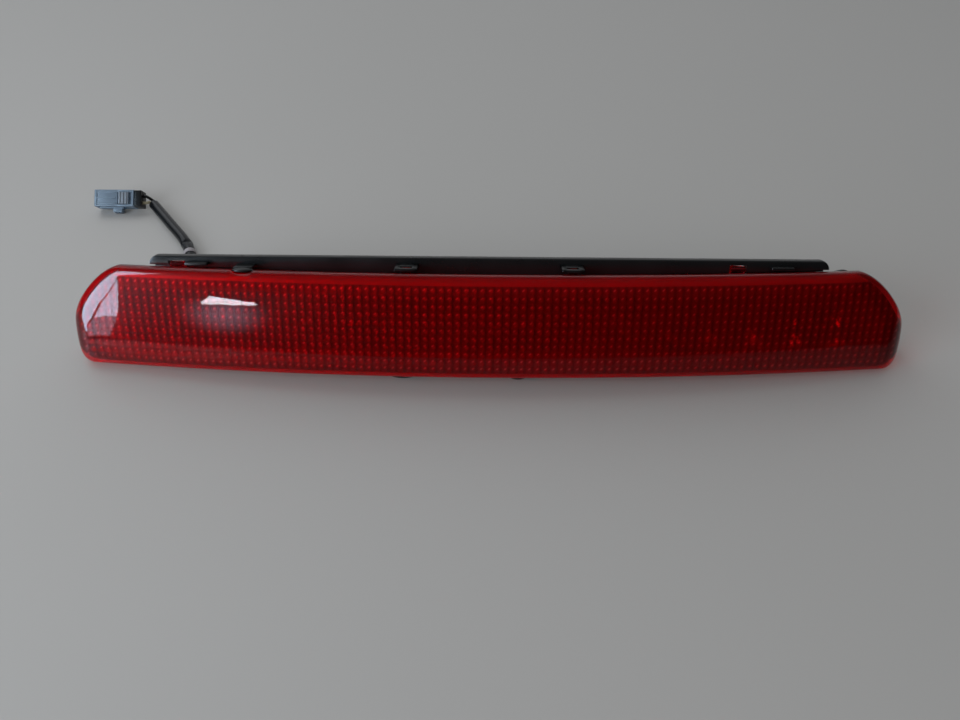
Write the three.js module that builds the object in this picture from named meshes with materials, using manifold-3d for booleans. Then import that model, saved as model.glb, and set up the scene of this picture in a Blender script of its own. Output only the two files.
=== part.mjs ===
// High-level third brake light: a bowed red lens on a black tray, a metallised reflector with a
// row of LEDs on a straight board, and a short sleeved lead that ends in a two-way connector.
//
// Lamp frame, millimetres: X along the lamp, Y from the lens back into the car, Z up the lens.
// The finished group leans the lamp back on its rear edge, as it rests on a bench, with +Z up.
import * as THREE from 'three';
import { mergeVertices } from 'three/addons/utils/BufferGeometryUtils.js';
import Module from 'manifold-3d';

const wasm = await Module();
wasm.setup();

// ---------------------------------------------------------------- driving dimensions
const LEAN = THREE.MathUtils.degToRad(28); // how far the lens looks up when the lamp rests
const REST_LIFT = 10.9;         // bench to lamp origin, once leant back
const FOOT_CENTRE = 36.75;      // middle of the footprint behind the lamp origin
const GAP = 0.3;                // clearance between touching pieces

const LENS_HALF = 212;
const LENS_HEIGHT = 51.8;
const BOW_RADIUS = 1139;        // plan curve of the lens
const FACE_LEAD = 3;            // how far the crown of the face leads the outline
const EDGE_ROUND = 5.5;         // depth of the rounded edge of the face
const CROWN = 1.5;
const END_ROLL = 9;             // depth of the roll at each end of the lens
const LOWER_CORNER = { along: 10, up: 10, reach: LENS_HALF, power: 2 };
const UPPER_CORNER = { along: 32, up: 38, reach: LENS_HALF + 2, power: 1.5 };
const SKIRT_LOW = 6;            // skirt depth at the lower edge
const SKIRT_SLOPE = 0.23;       // growth of the skirt depth per mm of height
const SKIRT_DRAFT = 3.9;        // how much the top skirt falls from rim to rear edge
const LENS_FACE_WALL = 2.5;
const LENS_RIM_WALL = 4.5;
const SEAL_INSET = 2.3;
const SEAL_THICK = 1;
const WALL = 2.2;               // tray wall

const TRAY_FRONT = SEAL_THICK + 2 * GAP;
const BACK_Y = 45;
const BACK_HALF = 184;          // half length of the straight part of the back
const END_BACK_DEPTH = 6;

const LIP = { half: 167.4, front: 18, thick: 5, top: 56.4, corner: 4 };
const DECK = { low: 49, thick: 2 };
const RIB_COUNT = 7;
const RIB_PITCH = 50;
const LOOP = { x: 40.3, width: 11, window: 5.6, start: 5.5, thick: 1.5 };
const HOOK = { x: 143.6, width: 11, reach: 3.5 };
const LENS_TABS = [-153.9, 122.6];
const TAB = { width: 7.2, front: 17.4, back: 21.6, top: 53.4 };
const PRY_NOTCH = { x: -119.5, width: 11, depth: 1.5, level: 51.4, tongue: 0.8 };
const LOWER_HOOKS = [[-55, -32], [7, 23]];
const CORNER_FIN = [170, 198];

const CELLS = 17;
const CELL_PITCH = 21.6;
const REFLECTOR = { half: 184.4, low: 8.4, high: 40.6, lead: 5, back: 31.6 };
const REFLECTOR_RIM = { half: 199, inset: 5.4, thick: 1.2 };
const CELL = { width: 20.2, low: 10.6, high: 39.4, throat: 9, floor: 30 };
const BOARD = { half: 182, low: 10.5, high: 40.8, front: 32, thick: 1.6 };
const LED = { base: 2.9, dome: 2.5, length: 7 };
const ROW_Z = 26.7;             // height of the row of LEDs

const SCREW_X = { left: -97.2, middle: 10.8, right: 97.2 };
const STUD = { x: 105, z: 38, radius: 2.5, head: 4.6, end: 62, boss: 9, seat: 48 };
const VENT = { x: 60, z: 31 };
const CABLE_EXIT = { x: -168, z: 34 };
const NOSE_END = 55;            // rear end of the grommet's tapered nose

const SLEEVE_RADIUS = 3.1;
const WIRE_RADIUS = 0.9;
const TERMINAL_SPACING = 2.1;   // each wire from the connector's middle
const TERMINAL_Z = 4;           // height of the wires inside the connector
const CONNECTOR = { x: -230, y: 151.4, length: 29, width: 10.4, height: 8 };
const CONNECTOR_ROLL = (40 * Math.PI) / 180; // it lies over on its latch
const CONNECTOR_LIFT = 3.75;                 // height of its underside's middle above the bench

// ---------------------------------------------------------------- materials
function paint(color, roughness, metalness = 0) {
  return new THREE.MeshStandardMaterial({ color, roughness, metalness });
}
const RED_LENS = paint(0xa01018, 0.12);
const BLACK_PLASTIC = paint(0x17171a, 0.5);
const SILVER = paint(0xd9d9dc, 0.15, 1);
const BOARD_GREEN = paint(0x1d4a2c, 0.5);
const LED_RED = paint(0xc01a1a, 0.15);
const STEEL = paint(0xb4b6ba, 0.35, 1);
const BRASS = paint(0xb08d4a, 0.35, 1);
const RUBBER = paint(0x121214, 0.8);
const SLEEVE_PVC = paint(0x101216, 0.25);
const CONNECTOR_GREY = paint(0x6d7278, 0.4);
const PALE_NYLON = paint(0xc9c2bd, 0.5);
const WIRE_YELLOW = paint(0xcfc58e, 0.4);
const WIRE_BLACK = paint(0x18181a, 0.4);
const WIRE_RED = paint(0x9c1c1c, 0.4);
const RESISTOR_TAN = paint(0xb79a6c, 0.5);

// ---------------------------------------------------------------- solids
function toSolid(geometry) {
  const bare = geometry.clone();
  bare.deleteAttribute('normal');
  bare.deleteAttribute('uv');
  const merged = mergeVertices(bare, 1e-4);
  return new wasm.Manifold(new wasm.Mesh({
    numProp: 3,
    vertProperties: new Float32Array(merged.attributes.position.array),
    triVerts: new Uint32Array(merged.index.array),
  }));
}

function toGeometry(solid) {
  const mesh = solid.getMesh();
  const geometry = new THREE.BufferGeometry();
  geometry.setAttribute('position', new THREE.BufferAttribute(mesh.vertProperties, 3));
  geometry.setIndex(new THREE.BufferAttribute(mesh.triVerts, 1));
  geometry.computeVertexNormals();
  return geometry;
}

function union(solids) {
  return solids.reduce((whole, piece) => whole.add(piece));
}

function cut(solid, tools) {
  return tools.reduce((whole, tool) => whole.subtract(tool), solid);
}

// A box between two corners.
function block(x0, x1, y0, y1, z0, z1) {
  const geometry = new THREE.BoxGeometry(x1 - x0, y1 - y0, z1 - z0);
  return toSolid(geometry.translate((x0 + x1) / 2, (y0 + y1) / 2, (z0 + z1) / 2));
}

// A turned piece with its axis along +Y. The profile is a list of [radius, y], from the low end.
function turned(profile, x, z, sides = 16) {
  const points = profile.map(([radius, y]) => new THREE.Vector2(radius, y));
  return toSolid(new THREE.LatheGeometry(points, sides).translate(x, 0, z));
}

function rod(x, z, radius, y0, y1, sides = 16) {
  return turned([[0, y0], [radius, y0], [radius, y1], [0, y1]], x, z, sides);
}

// A body along X through closed sections of [y, z], all with the same number of points, which
// run counter-clockwise when seen from +X.
function loft(stations, sectionAt) {
  const sections = stations.map(sectionAt);
  const count = sections[0].length;
  const position = sections.flatMap((section, i) => (
    section.flatMap(([y, z]) => [stations[i], y, z])));
  const index = [];
  for (let i = 0; i + 1 < sections.length; i += 1) {
    for (let j = 0; j < count; j += 1) {
      const a = i * count + j;
      const b = i * count + ((j + 1) % count);
      index.push(a, b, b + count, a, b + count, a + count);
    }
  }
  const caps = [[0, true], [sections.length - 1, false]];
  for (const [which, flip] of caps) {
    const outline = sections[which].map(([y, z]) => new THREE.Vector2(y, z));
    for (const [a, b, c] of THREE.ShapeUtils.triangulateShape(outline, [])) {
      const base = which * count;
      index.push(base + a, base + (flip ? c : b), base + (flip ? b : c));
    }
  }
  const geometry = new THREE.BufferGeometry();
  geometry.setAttribute('position', new THREE.Float32BufferAttribute(position, 3));
  geometry.setIndex(index);
  return toSolid(geometry);
}

// ---------------------------------------------------------------- shape of the lamp
function bow(x) {
  return (x * x) / (2 * BOW_RADIUS);
}

// Rise of a rounded corner, 0 inboard and `up` at its reach. A power under 2 makes the corner slant.
function cornerRise(x, corner) {
  const into = Math.max(0, Math.abs(x) - (corner.reach - corner.along)) / corner.along;
  return corner.up * (1 - Math.pow(Math.max(0, 1 - Math.pow(into, corner.power)), 1 / corner.power));
}

function lowerEdge(x) {
  return cornerRise(x, LOWER_CORNER);
}

function upperEdge(x) {
  return LENS_HEIGHT - cornerRise(x, UPPER_CORNER);
}

// Fall of the top skirt from rim to rear edge, easing off where the ends get low.
function rearDrop(x) {
  const spare = upperEdge(x) - lowerEdge(x) - 2 * LENS_RIM_WALL - 0.6;
  return SKIRT_DRAFT * Math.min(1, spare / 25);
}

function endRoll(x) {
  return cornerRise(x, { along: END_ROLL, up: END_ROLL, reach: LENS_HALF, power: 2 });
}

// The joint between lens and tray, bowed in plan and deeper at the top.
function jointY(x, z) {
  return bow(x) + SKIRT_LOW + SKIRT_SLOPE * z;
}

// Stations along X up to a half length, close together where the corners turn.
function stations(half) {
  const inner = [0, 30, 60, 90, 120, 150, 175];
  const outer = [33, 26, 19, 13.5, 9.5, 6.5, 4.3, 2.6, 1.2, 0.4, 0].map((d) => LENS_HALF - d);
  const right = [...inner, ...outer].map((x) => (x * half) / LENS_HALF);
  return [...right.slice(1).reverse().map((x) => -x), ...right];
}

// Closed section of the lens body, drawn in by `side` at its edges and by `face` at its front.
function lensSection(x, side, face, rearShift) {
  const full = (Math.abs(x) * LENS_HALF) / (LENS_HALF - side);
  const low = lowerEdge(full) + side;
  const high = upperEdge(full) - side;
  const rearHigh = high - rearDrop(full);
  const squash = 1 - (0.8 * endRoll(full)) / END_ROLL;
  const round = Math.max(EDGE_ROUND - face, 1.5) * squash;
  const front = bow(x) + endRoll(full) - FACE_LEAD + face;
  const middle = (low + high) / 2;
  const points = [
    [jointY(x, low) + rearShift, low],
    [jointY(x, rearHigh) + rearShift, rearHigh],
  ];
  const steps = 10;
  for (let i = 0; i <= steps; i += 1) {
    const turn = (Math.PI * i) / steps;
    const across = Math.cbrt(Math.cos(turn));
    const depth = round * (1 - Math.cbrt(Math.sin(turn))) + CROWN * squash * across * across;
    points.push([front + depth, middle + (across * (high - low)) / 2]);
  }
  return points;
}

function lensBody(side, face, rearShift) {
  return loft(stations(LENS_HALF - side), (x) => lensSection(x, side, face, rearShift));
}

// A slice that follows the joint, from `front` to `back` behind it.
function jointSlice(inset, front, back) {
  return loft(stations(LENS_HALF - inset), (x) => {
    const full = (Math.abs(x) * LENS_HALF) / (LENS_HALF - inset);
    const low = lowerEdge(full) + inset;
    const high = upperEdge(full) - rearDrop(full) - inset;
    return [
      [jointY(x, low) + back, low],
      [jointY(x, high) + back, high],
      [jointY(x, high) + front, high],
      [jointY(x, low) + front, low],
    ];
  });
}

// Height of the bench, as seen in the lamp frame.
function benchZ(y) {
  return (y * Math.sin(LEAN) - REST_LIFT) / Math.cos(LEAN);
}

function benchY(z) {
  return (z * Math.cos(LEAN) + REST_LIFT) / Math.sin(LEAN);
}

function trayBack(x) {
  const end = LENS_HALF - SEAL_INSET;
  const along = Math.max(0, (Math.abs(x) - BACK_HALF) / (end - BACK_HALF));
  const endBack = jointY(end, ROW_Z) + END_BACK_DEPTH;
  return THREE.MathUtils.lerp(BACK_Y, endBack, along);
}

// The tray, full or drawn in by `wall` to give its inside.
function trayBody(wall, front) {
  const inset = SEAL_INSET + wall;
  return loft(stations(LENS_HALF - inset), (x) => {
    const full = (Math.abs(x) * LENS_HALF) / (LENS_HALF - inset);
    const low = lowerEdge(full) + inset;
    const high = upperEdge(full) - rearDrop(full) - inset;
    const back = trayBack((x * LENS_HALF) / (LENS_HALF - wall)) - wall;
    const lift = (wall * 1.1) / Math.cos(LEAN);
    const knee = Math.min(benchY(low - lift), back - 1);
    const heel = Math.max(benchZ(back) + lift, low + 0.2);
    return [
      [knee, low],
      [back, heel],
      [back, high],
      [jointY(x, high) + front, high],
      [jointY(x, low) + front, low],
    ];
  });
}

// ---------------------------------------------------------------- lens and seal
// The rounded hollow in the lens's top edge, or the tip that fills it when grown by less than 0.
function notchBall(grow) {
  const ball = new THREE.SphereGeometry(1, 16, 8);
  ball.scale(PRY_NOTCH.width / 2 + grow, 3.2 + grow, PRY_NOTCH.depth + grow);
  ball.translate(PRY_NOTCH.x, bow(PRY_NOTCH.x) + 4, PRY_NOTCH.level);
  return toSolid(ball);
}

function outerLens() {
  const skirtTop = (x, y) => LENS_HEIGHT - (0.3 * (y - bow(x) - EDGE_ROUND));
  const tabs = LENS_TABS.map((x) => {
    const half = TAB.width / 2;
    return block(x - half, x + half, TAB.front, TAB.back, skirtTop(x, TAB.back) - 1.5, TAB.top);
  });
  const catches = [-LOOP.x, LOOP.x].map((x) => {
    const half = LOOP.window / 2 - 2 * GAP;
    return block(x - half, x + half, 9.4, 11.4, LENS_HEIGHT - 4, LENS_HEIGHT + 1.4);
  });
  const inside = lensBody(LENS_RIM_WALL, LENS_FACE_WALL, 3);
  const shell = union([lensBody(0, 0, 0), ...catches, ...tabs]).subtract(inside);
  return shell.subtract(notchBall(0));
}

function lensSeal() {
  const ring = jointSlice(SEAL_INSET, GAP, GAP + SEAL_THICK);
  return ring.subtract(jointSlice(SEAL_INSET + 2, -1, 3));
}

// ---------------------------------------------------------------- housing
function lip() {
  const shape = new THREE.Shape();
  const { half, top, corner } = LIP;
  const foot = 44.8;
  shape.moveTo(-half, foot);
  shape.lineTo(half, foot);
  shape.lineTo(half, top - corner);
  shape.absarc(half - corner, top - corner, corner, 0, Math.PI / 2, false);
  shape.absarc(-half + corner, top - corner, corner, Math.PI / 2, Math.PI, false);
  const geometry = new THREE.ExtrudeGeometry(shape, {
    depth: LIP.thick, bevelEnabled: false, curveSegments: 6,
  });
  geometry.rotateX(Math.PI / 2);
  return toSolid(geometry.translate(0, LIP.front + LIP.thick, 0));
}

function lipNotches() {
  return LENS_TABS.map((x) => {
    const half = TAB.width / 2 + 0.6;
    return block(x - half, x + half, LIP.front - 1, LIP.front + LIP.thick + 1, 45, TAB.top + 0.6);
  });
}

function deck() {
  const half = LIP.half - 0.5;
  const top = DECK.low + DECK.thick;
  const plate = block(-half, half, LIP.front + 1, BACK_Y, DECK.low, top);
  const riser = block(-half, half, BACK_Y - WALL, BACK_Y, 44, top);
  const ribs = [];
  for (let i = 0; i < RIB_COUNT; i += 1) {
    const x = (i - (RIB_COUNT - 1) / 2) * RIB_PITCH;
    ribs.push(block(x - 1, x + 1, 30, BACK_Y - 1, 44.6, DECK.low + 0.5));
  }
  return union([plate, riser, ...ribs]);
}

function snapLoops() {
  const loops = [-LOOP.x, LOOP.x].map((x) => {
    const half = LOOP.width / 2;
    const low = LENS_HEIGHT + GAP;
    const start = bow(x) + LOOP.start;
    const frame = block(x - half, x + half, start, LIP.front + 1, low, low + LOOP.thick);
    const pane = LOOP.window / 2;
    return frame.subtract(block(x - pane, x + pane, 8.8, 12, low - 1, low + 3));
  });
  const hooks = [-HOOK.x, HOOK.x].map((x) => {
    const half = HOOK.width / 2;
    const low = LENS_HEIGHT + GAP;
    return block(x - half, x + half, LIP.front - HOOK.reach, LIP.front + 1, low, low + 1.6);
  });
  return [...loops, ...hooks];
}

// A tongue over the top of the lens whose rounded tip fills the pry notch.
function pryTongue() {
  const { x, width } = PRY_NOTCH;
  const half = width / 2 - 1;
  const low = LENS_HEIGHT + GAP;
  const arm = block(x - half, x + half, bow(x) + 4, LIP.front + 1, low, low + PRY_NOTCH.tongue);
  return arm.add(notchBall(-GAP));
}

// Rounded hooks that reach below the tray at its lower front edge.
function lowerHooks() {
  return LOWER_HOOKS.map(([x0, x1]) => {
    const steps = 10;
    const xs = Array.from({ length: steps + 1 }, (_, i) => x0 + ((x1 - x0) * i) / steps);
    return loft(xs, (x) => {
      const across = (x - x0) / (x1 - x0);
      const low = 1.9 - 5.4 * Math.sqrt(Math.max(0.01, Math.sin(Math.PI * across)));
      const front = jointY(x, 0) + TRAY_FRONT + 0.2;
      return [[front + 3, low], [front + 3, 4], [front, 4], [front, low]];
    });
  });
}

// A fin that follows the upper right corner, just behind the rear edge of the lens.
function cornerFin() {
  const [x0, x1] = CORNER_FIN;
  const steps = 10;
  const xs = Array.from({ length: steps + 1 }, (_, i) => x0 + ((x1 - x0) * i) / steps);
  return loft(xs, (x) => {
    const rise = Math.sin((Math.PI * (x - x0)) / (x1 - x0));
    const high = upperEdge(x) - rearDrop(x) - SEAL_INSET - 0.3 + 3.2 * rise;
    const low = upperEdge(x) - 9;
    const front = jointY(x, high) + TRAY_FRONT;
    return [[front + 2.6, low], [front + 2.6, high], [front, high], [front, low]];
  });
}

function bosses() {
  const seats = [-STUD.x, STUD.x].map((x) => rod(x, STUD.z, STUD.boss, BACK_Y - 1, STUD.seat, 24));
  const boardBack = BOARD.front + BOARD.thick + GAP;
  const posts = [-60, 20, 135].map((x) => rod(x, ROW_Z, 3, boardBack, BACK_Y - 1, 10));
  return [...seats, ...posts];
}

function housing() {
  const shell = trayBody(0, TRAY_FRONT).subtract(trayBody(WALL, -2));
  const body = union([shell, lip(), deck(), ...snapLoops(), ...lowerHooks(), cornerFin(), ...bosses()]);
  const boltHoles = [-STUD.x, STUD.x].map((x) => (
    rod(x, STUD.z, STUD.radius + GAP, 40, STUD.seat + 1)));
  const ventHole = rod(VENT.x, VENT.z, 2.4, 40, 50, 12);
  const cableHole = rod(CABLE_EXIT.x, CABLE_EXIT.z, 5.5, 40, 50);
  const lensRoom = lensBody(-GAP, -GAP, GAP);
  const sealRoom = jointSlice(SEAL_INSET - GAP, -1, TRAY_FRONT);
  const tray = cut(body, [...lipNotches(), ...boltHoles, ventHole, cableHole, lensRoom, sealRoom]);
  return tray.add(pryTongue());
}

// ---------------------------------------------------------------- reflector, board and LEDs
function cellCentres() {
  return Array.from({ length: CELLS }, (_, i) => (i - (CELLS - 1) / 2) * CELL_PITCH);
}

// A tapered pocket from the front of the reflector down to the throat round one LED.
function cellPocket(x) {
  const front = bow(x) + REFLECTOR.lead - 8;
  const half = CELL.width / 2;
  const throat = CELL.throat / 2;
  const rings = [
    [front, half, CELL.low, CELL.high],
    [CELL.floor, throat, ROW_Z - throat, ROW_Z + throat],
  ];
  const position = rings.flatMap(([y, w, low, high]) => [
    x - w, y, low, x + w, y, low, x + w, y, high, x - w, y, high]);
  const index = [
    0, 1, 2, 0, 2, 3, 4, 6, 5, 4, 7, 6,
    0, 4, 5, 0, 5, 1, 1, 5, 6, 1, 6, 2, 2, 6, 7, 2, 7, 3, 3, 7, 4, 3, 4, 0,
  ];
  const geometry = new THREE.BufferGeometry();
  geometry.setAttribute('position', new THREE.Float32BufferAttribute(position, 3));
  geometry.setIndex(index);
  return toSolid(geometry);
}

// A wedge of air behind the wall between two cells, open at the back.
function wallRelief(x) {
  const { back, low, high, lead } = REFLECTOR;
  const shape = new THREE.Shape();
  shape.moveTo(x - 4.2, back + 1);
  shape.lineTo(x, bow(x) + lead + 9);
  shape.lineTo(x + 4.2, back + 1);
  shape.closePath();
  const height = high - low - 4;
  const geometry = new THREE.ExtrudeGeometry(shape, { depth: height, bevelEnabled: false });
  return toSolid(geometry.translate(0, 0, low + 2));
}

function reflector() {
  const { half, low, high, lead, back } = REFLECTOR;
  const xs = stations(half);
  const bar = loft(xs, (x) => [
    [back, low], [back, high], [bow(x) + lead, high - 1], [bow(x) + lead, low + 1]]);
  const rim = loft(stations(REFLECTOR_RIM.half), (x) => {
    const { half: rimHalf, inset, thick } = REFLECTOR_RIM;
    const outer = (x * LENS_HALF) / (rimHalf + inset - 1);
    const front = bow(x) + lead;
    const [rimLow, rimHigh] = [lowerEdge(outer) + inset, upperEdge(outer) - inset - 1];
    return [
      [front + thick, rimLow], [front + thick, rimHigh], [front, rimHigh], [front, rimLow]];
  });
  const pockets = cellCentres().map(cellPocket);
  const throats = cellCentres().map((x) => rod(x, ROW_Z, LED.base + 0.4, 28, back + 1, 10));
  const holes = Object.values(SCREW_X).map((x) => rod(x, ROW_Z, 1.6, back - 7.4, back + 1, 8));
  const walls = cellCentres().slice(1).map((x) => x - CELL_PITCH / 2);
  const isScrewed = (x) => Object.values(SCREW_X).some((screw) => Math.abs(screw - x) < 1);
  const reliefs = walls.filter((x) => !isScrewed(x)).map(wallRelief);
  return cut(bar.add(rim), [...pockets, ...throats, ...holes, ...reliefs]);
}

function circuitBoard() {
  const { half, low, high, front, thick } = BOARD;
  const plate = block(-half, half, front, front + thick, low, high);
  const holes = Object.values(SCREW_X).map((x) => (
    rod(x, ROW_Z, 1.7, front - 1, front + thick + 1, 8)));
  return cut(plate, holes);
}

// A domed LED whose base stands just clear of the board.
function led(x) {
  const base = BOARD.front - GAP;
  const tip = base - LED.length;
  const profile = [[0, tip]];
  for (const part of [0.35, 0.7, 1]) {
    const turn = (part * Math.PI) / 2;
    profile.push([LED.dome * Math.sin(turn), tip + LED.dome * (1 - Math.cos(turn))]);
  }
  profile.push([LED.dome, base - 1.1], [LED.base, base - 1.1], [LED.base, base], [0, base]);
  return turned(profile, x, ROW_Z, 8);
}

function boardScrew(x) {
  const seat = BOARD.front + BOARD.thick + GAP;
  return turned([
    [0, seat - 8], [1.25, seat - 8], [1.25, seat], [2.8, seat], [2.8, seat + 1.2],
    [1.8, seat + 2], [0, seat + 2]], x, ROW_Z, 12);
}

// A lead-in component lying on the rear of the board, axis along X.
function axialPart(x, z, length, radius) {
  const half = length / 2;
  const profile = [
    [0, -half - 2], [0.4, -half - 2], [0.4, -half], [radius, -half + 0.4],
    [radius, half - 0.4], [0.4, half], [0.4, half + 2], [0, half + 2]];
  const points = profile.map(([r, y]) => new THREE.Vector2(r, y));
  const geometry = new THREE.LatheGeometry(points, 10);
  geometry.rotateZ(-Math.PI / 2);
  return toSolid(geometry.translate(x, BOARD.front + BOARD.thick + GAP + radius, z));
}

// ---------------------------------------------------------------- fittings on the back
function stud(x) {
  const inside = BACK_Y - WALL - GAP;
  return turned([
    [0, inside - 2], [STUD.head, inside - 2], [STUD.head, inside], [STUD.radius, inside],
    [STUD.radius, STUD.end - 1], [STUD.radius - 0.8, STUD.end], [0, STUD.end]], x, STUD.z, 18);
}

function studWasher(x) {
  const low = STUD.seat + GAP;
  const disc = rod(x, STUD.z, 7, low, low + 2.5, 20);
  return disc.subtract(rod(x, STUD.z, STUD.radius + GAP, low - 1, low + 4, 18));
}

function ventCap() {
  return turned([
    [0, 39], [2.1, 39], [2.1, BACK_Y + GAP], [4.6, BACK_Y + GAP], [4.6, BACK_Y + 3],
    [3.4, BACK_Y + 4.4], [0, BACK_Y + 4.4]], VENT.x, VENT.z, 16);
}

function grommet() {
  const outside = BACK_Y + GAP;
  const inside = BACK_Y - WALL - GAP;
  return turned([
    [0, inside - 2], [6.8, inside - 2], [6.8, inside], [5.2, inside], [5.2, outside],
    [7.4, outside], [7.4, outside + 2], [5, outside + 2.6], [3.9, NOSE_END], [0, NOSE_END]],
  CABLE_EXIT.x, CABLE_EXIT.z, 20);
}

// A round wire or sleeve through hand-placed points.
function tube(points, radius, steps, sides) {
  const section = new THREE.Shape();
  for (let i = 0; i < sides; i += 1) {
    const turn = (2 * Math.PI * i) / sides;
    const [u, v] = [radius * Math.cos(turn), radius * Math.sin(turn)];
    if (i === 0) section.moveTo(u, v);
    else section.lineTo(u, v);
  }
  const curve = new THREE.CatmullRomCurve3(points.map((p) => new THREE.Vector3(...p)));
  return toSolid(new THREE.ExtrudeGeometry(section, { steps, extrudePath: curve, curveSegments: 1 }));
}

function innerWire(side) {
  const x = CABLE_EXIT.x;
  const z = CABLE_EXIT.z + side * 1.6;
  const start = BACK_Y - WALL - 2 * GAP - 2.2;
  const end = BOARD.front + BOARD.thick + 2 * GAP;
  return tube([
    [x, start, z], [x + 1, start - 1.5, z],
    [x + 6, 38, z - 1.5], [x + 10, end + 2, z - 3], [x + 11, end, z - 3.4]],
  WIRE_RADIUS, 12, 8);
}

// ---------------------------------------------------------------- lead and connector, on the bench
// These are placed on the bench itself: X along the lamp, Y back, Z up, from the lamp's origin.
function benchPoint(x, y, z) {
  return [
    x,
    y * Math.cos(LEAN) + z * Math.sin(LEAN),
    -y * Math.sin(LEAN) + z * Math.cos(LEAN) + REST_LIFT,
  ];
}

const SLEEVE_LIE = SLEEVE_RADIUS + 0.1; // height of the sleeve's centre line on the bench
const SLEEVE_ROUTE = [
  benchPoint(CABLE_EXIT.x, NOSE_END + GAP, CABLE_EXIT.z),
  benchPoint(CABLE_EXIT.x, NOSE_END + 5, CABLE_EXIT.z),
  benchPoint(CABLE_EXIT.x - 0.3, NOSE_END + 10, CABLE_EXIT.z - 0.1),
  [-168.9, 77.9, 7.9],
  [-169.9, 82.6, 5.7],
  [-171.1, 87.5, 4.1],
  [-172.6, 93.0, SLEEVE_LIE],
  [-174.2, 98.4, SLEEVE_LIE],
  [-176.2, 103.8, SLEEVE_LIE],
  [-178.7, 108.9, SLEEVE_LIE],
  [-181.8, 113.6, SLEEVE_LIE],
  [-185.2, 118.2, SLEEVE_LIE],
  [-188.9, 122.7, SLEEVE_LIE],
  [-192.7, 127.3, SLEEVE_LIE],
  [-196.5, 132.0, SLEEVE_LIE],
  [-200.3, 136.7, SLEEVE_LIE],
  [-204.1, 141.4, SLEEVE_LIE],
  [-207.9, 146.1, SLEEVE_LIE],
  [-209.9, 148.5, SLEEVE_LIE],
];

function cableSleeve() {
  return tube(SLEEVE_ROUTE, SLEEVE_RADIUS, 18, 10);
}

// A point of the connector's own frame, as it lies on the bench.
function connectorPoint(x, y, z) {
  const [cos, sin] = [Math.cos(CONNECTOR_ROLL), Math.sin(CONNECTOR_ROLL)];
  return [CONNECTOR.x + x, CONNECTOR.y + y * cos - z * sin, CONNECTOR_LIFT + y * sin + z * cos];
}

// The short length of each wire between the sleeve and the connector.
function plugWire(side) {
  const entryX = CONNECTOR.length / 2;
  const y = side * TERMINAL_SPACING;
  return tube([
    [-211.1 + side * 0.9, 150.1 + side * 0.75, 3.6],
    [-212.2 + side * 0.6, 150.6 + side * 1.1, 4.3],
    connectorPoint(entryX + 1.9, y * 0.9, TERMINAL_Z - 0.6),
    connectorPoint(entryX + 0.6, y, TERMINAL_Z),
    connectorPoint(entryX - 6, y, TERMINAL_Z)],
  WIRE_RADIUS, 12, 8);
}

// Connector pieces in their own frame: middle of the body's underside, mating end at -X.
const BODY_X = CONNECTOR.length / 2;
const BODY_Y = CONNECTOR.width / 2;
const CAP_START = 10.2;         // the rear cap closes the last of the body's length
const LOCK = { root: -12, tip: 3, low: 2, high: 6, front: -5.9, thick: 1 };
const LATCH_FRONT = -8.6;
const RETAINER = { x0: 0.4, x1: 6.6, half: 3.6, low: 6.6, high: 8.4, travel: 1.5 };

// The square way through for each terminal and its wire.
function terminalTunnels() {
  const half = 1.1;
  return [-TERMINAL_SPACING, TERMINAL_SPACING].map((y) => (
    block(-BODY_X - 1, BODY_X + 1, y - half, y + half, TERMINAL_Z - half, TERMINAL_Z + half)));
}

function connectorHousing() {
  const body = block(-BODY_X, CAP_START - GAP, -BODY_Y, BODY_Y, 0, CONNECTOR.height);
  const key = block(-BODY_X + 1, 0, BODY_Y - 0.5, BODY_Y + 0.8, 2.6, 5);
  const lockRoom = block(LOCK.root - 0.6, LOCK.tip + 1, -BODY_Y - 1, -3.8, 1.6, 6.4);
  const retainerRoom = block(
    RETAINER.x0 - 0.4, RETAINER.x1 + RETAINER.travel + 0.4,
    -RETAINER.half - GAP, RETAINER.half + GAP, RETAINER.low - GAP, CONNECTOR.height + 1);
  return cut(union([body, key]), [...terminalTunnels(), lockRoom, retainerRoom]);
}

function connectorCap() {
  const inset = 0.2;
  const cap = block(
    CAP_START, BODY_X, -BODY_Y + inset, BODY_Y - inset, inset, CONNECTOR.height - inset);
  return cut(cap, terminalTunnels());
}

function connectorTerminal(side) {
  const y = side * TERMINAL_SPACING;
  return block(-BODY_X + 2, BODY_X - 7, y - 0.7, y + 0.7, TERMINAL_Z - 0.7, TERMINAL_Z + 0.7);
}

function connectorLock() {
  const arm = block(LOCK.root, LOCK.tip, LOCK.front, LOCK.front + LOCK.thick, LOCK.low, LOCK.high);
  const pad = block(-3.6, 2.1, LATCH_FRONT, LOCK.front + 0.2, LOCK.low + 0.4, LOCK.high - 0.2);
  return arm.add(pad);
}

function connectorRetainer() {
  const { x0, x1, half, low, high } = RETAINER;
  const plate = block(x0, x1, -half, half, low, high - 0.4);
  const ribs = [1.4, 3.4, 5.4].map((x) => block(x - 0.4, x + 0.4, -half, half, low, high));
  return union([plate, ...ribs]);
}

// ---------------------------------------------------------------- assembly
function named(name, solid, material) {
  const mesh = new THREE.Mesh(toGeometry(solid), material);
  mesh.name = name;
  return mesh;
}

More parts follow.
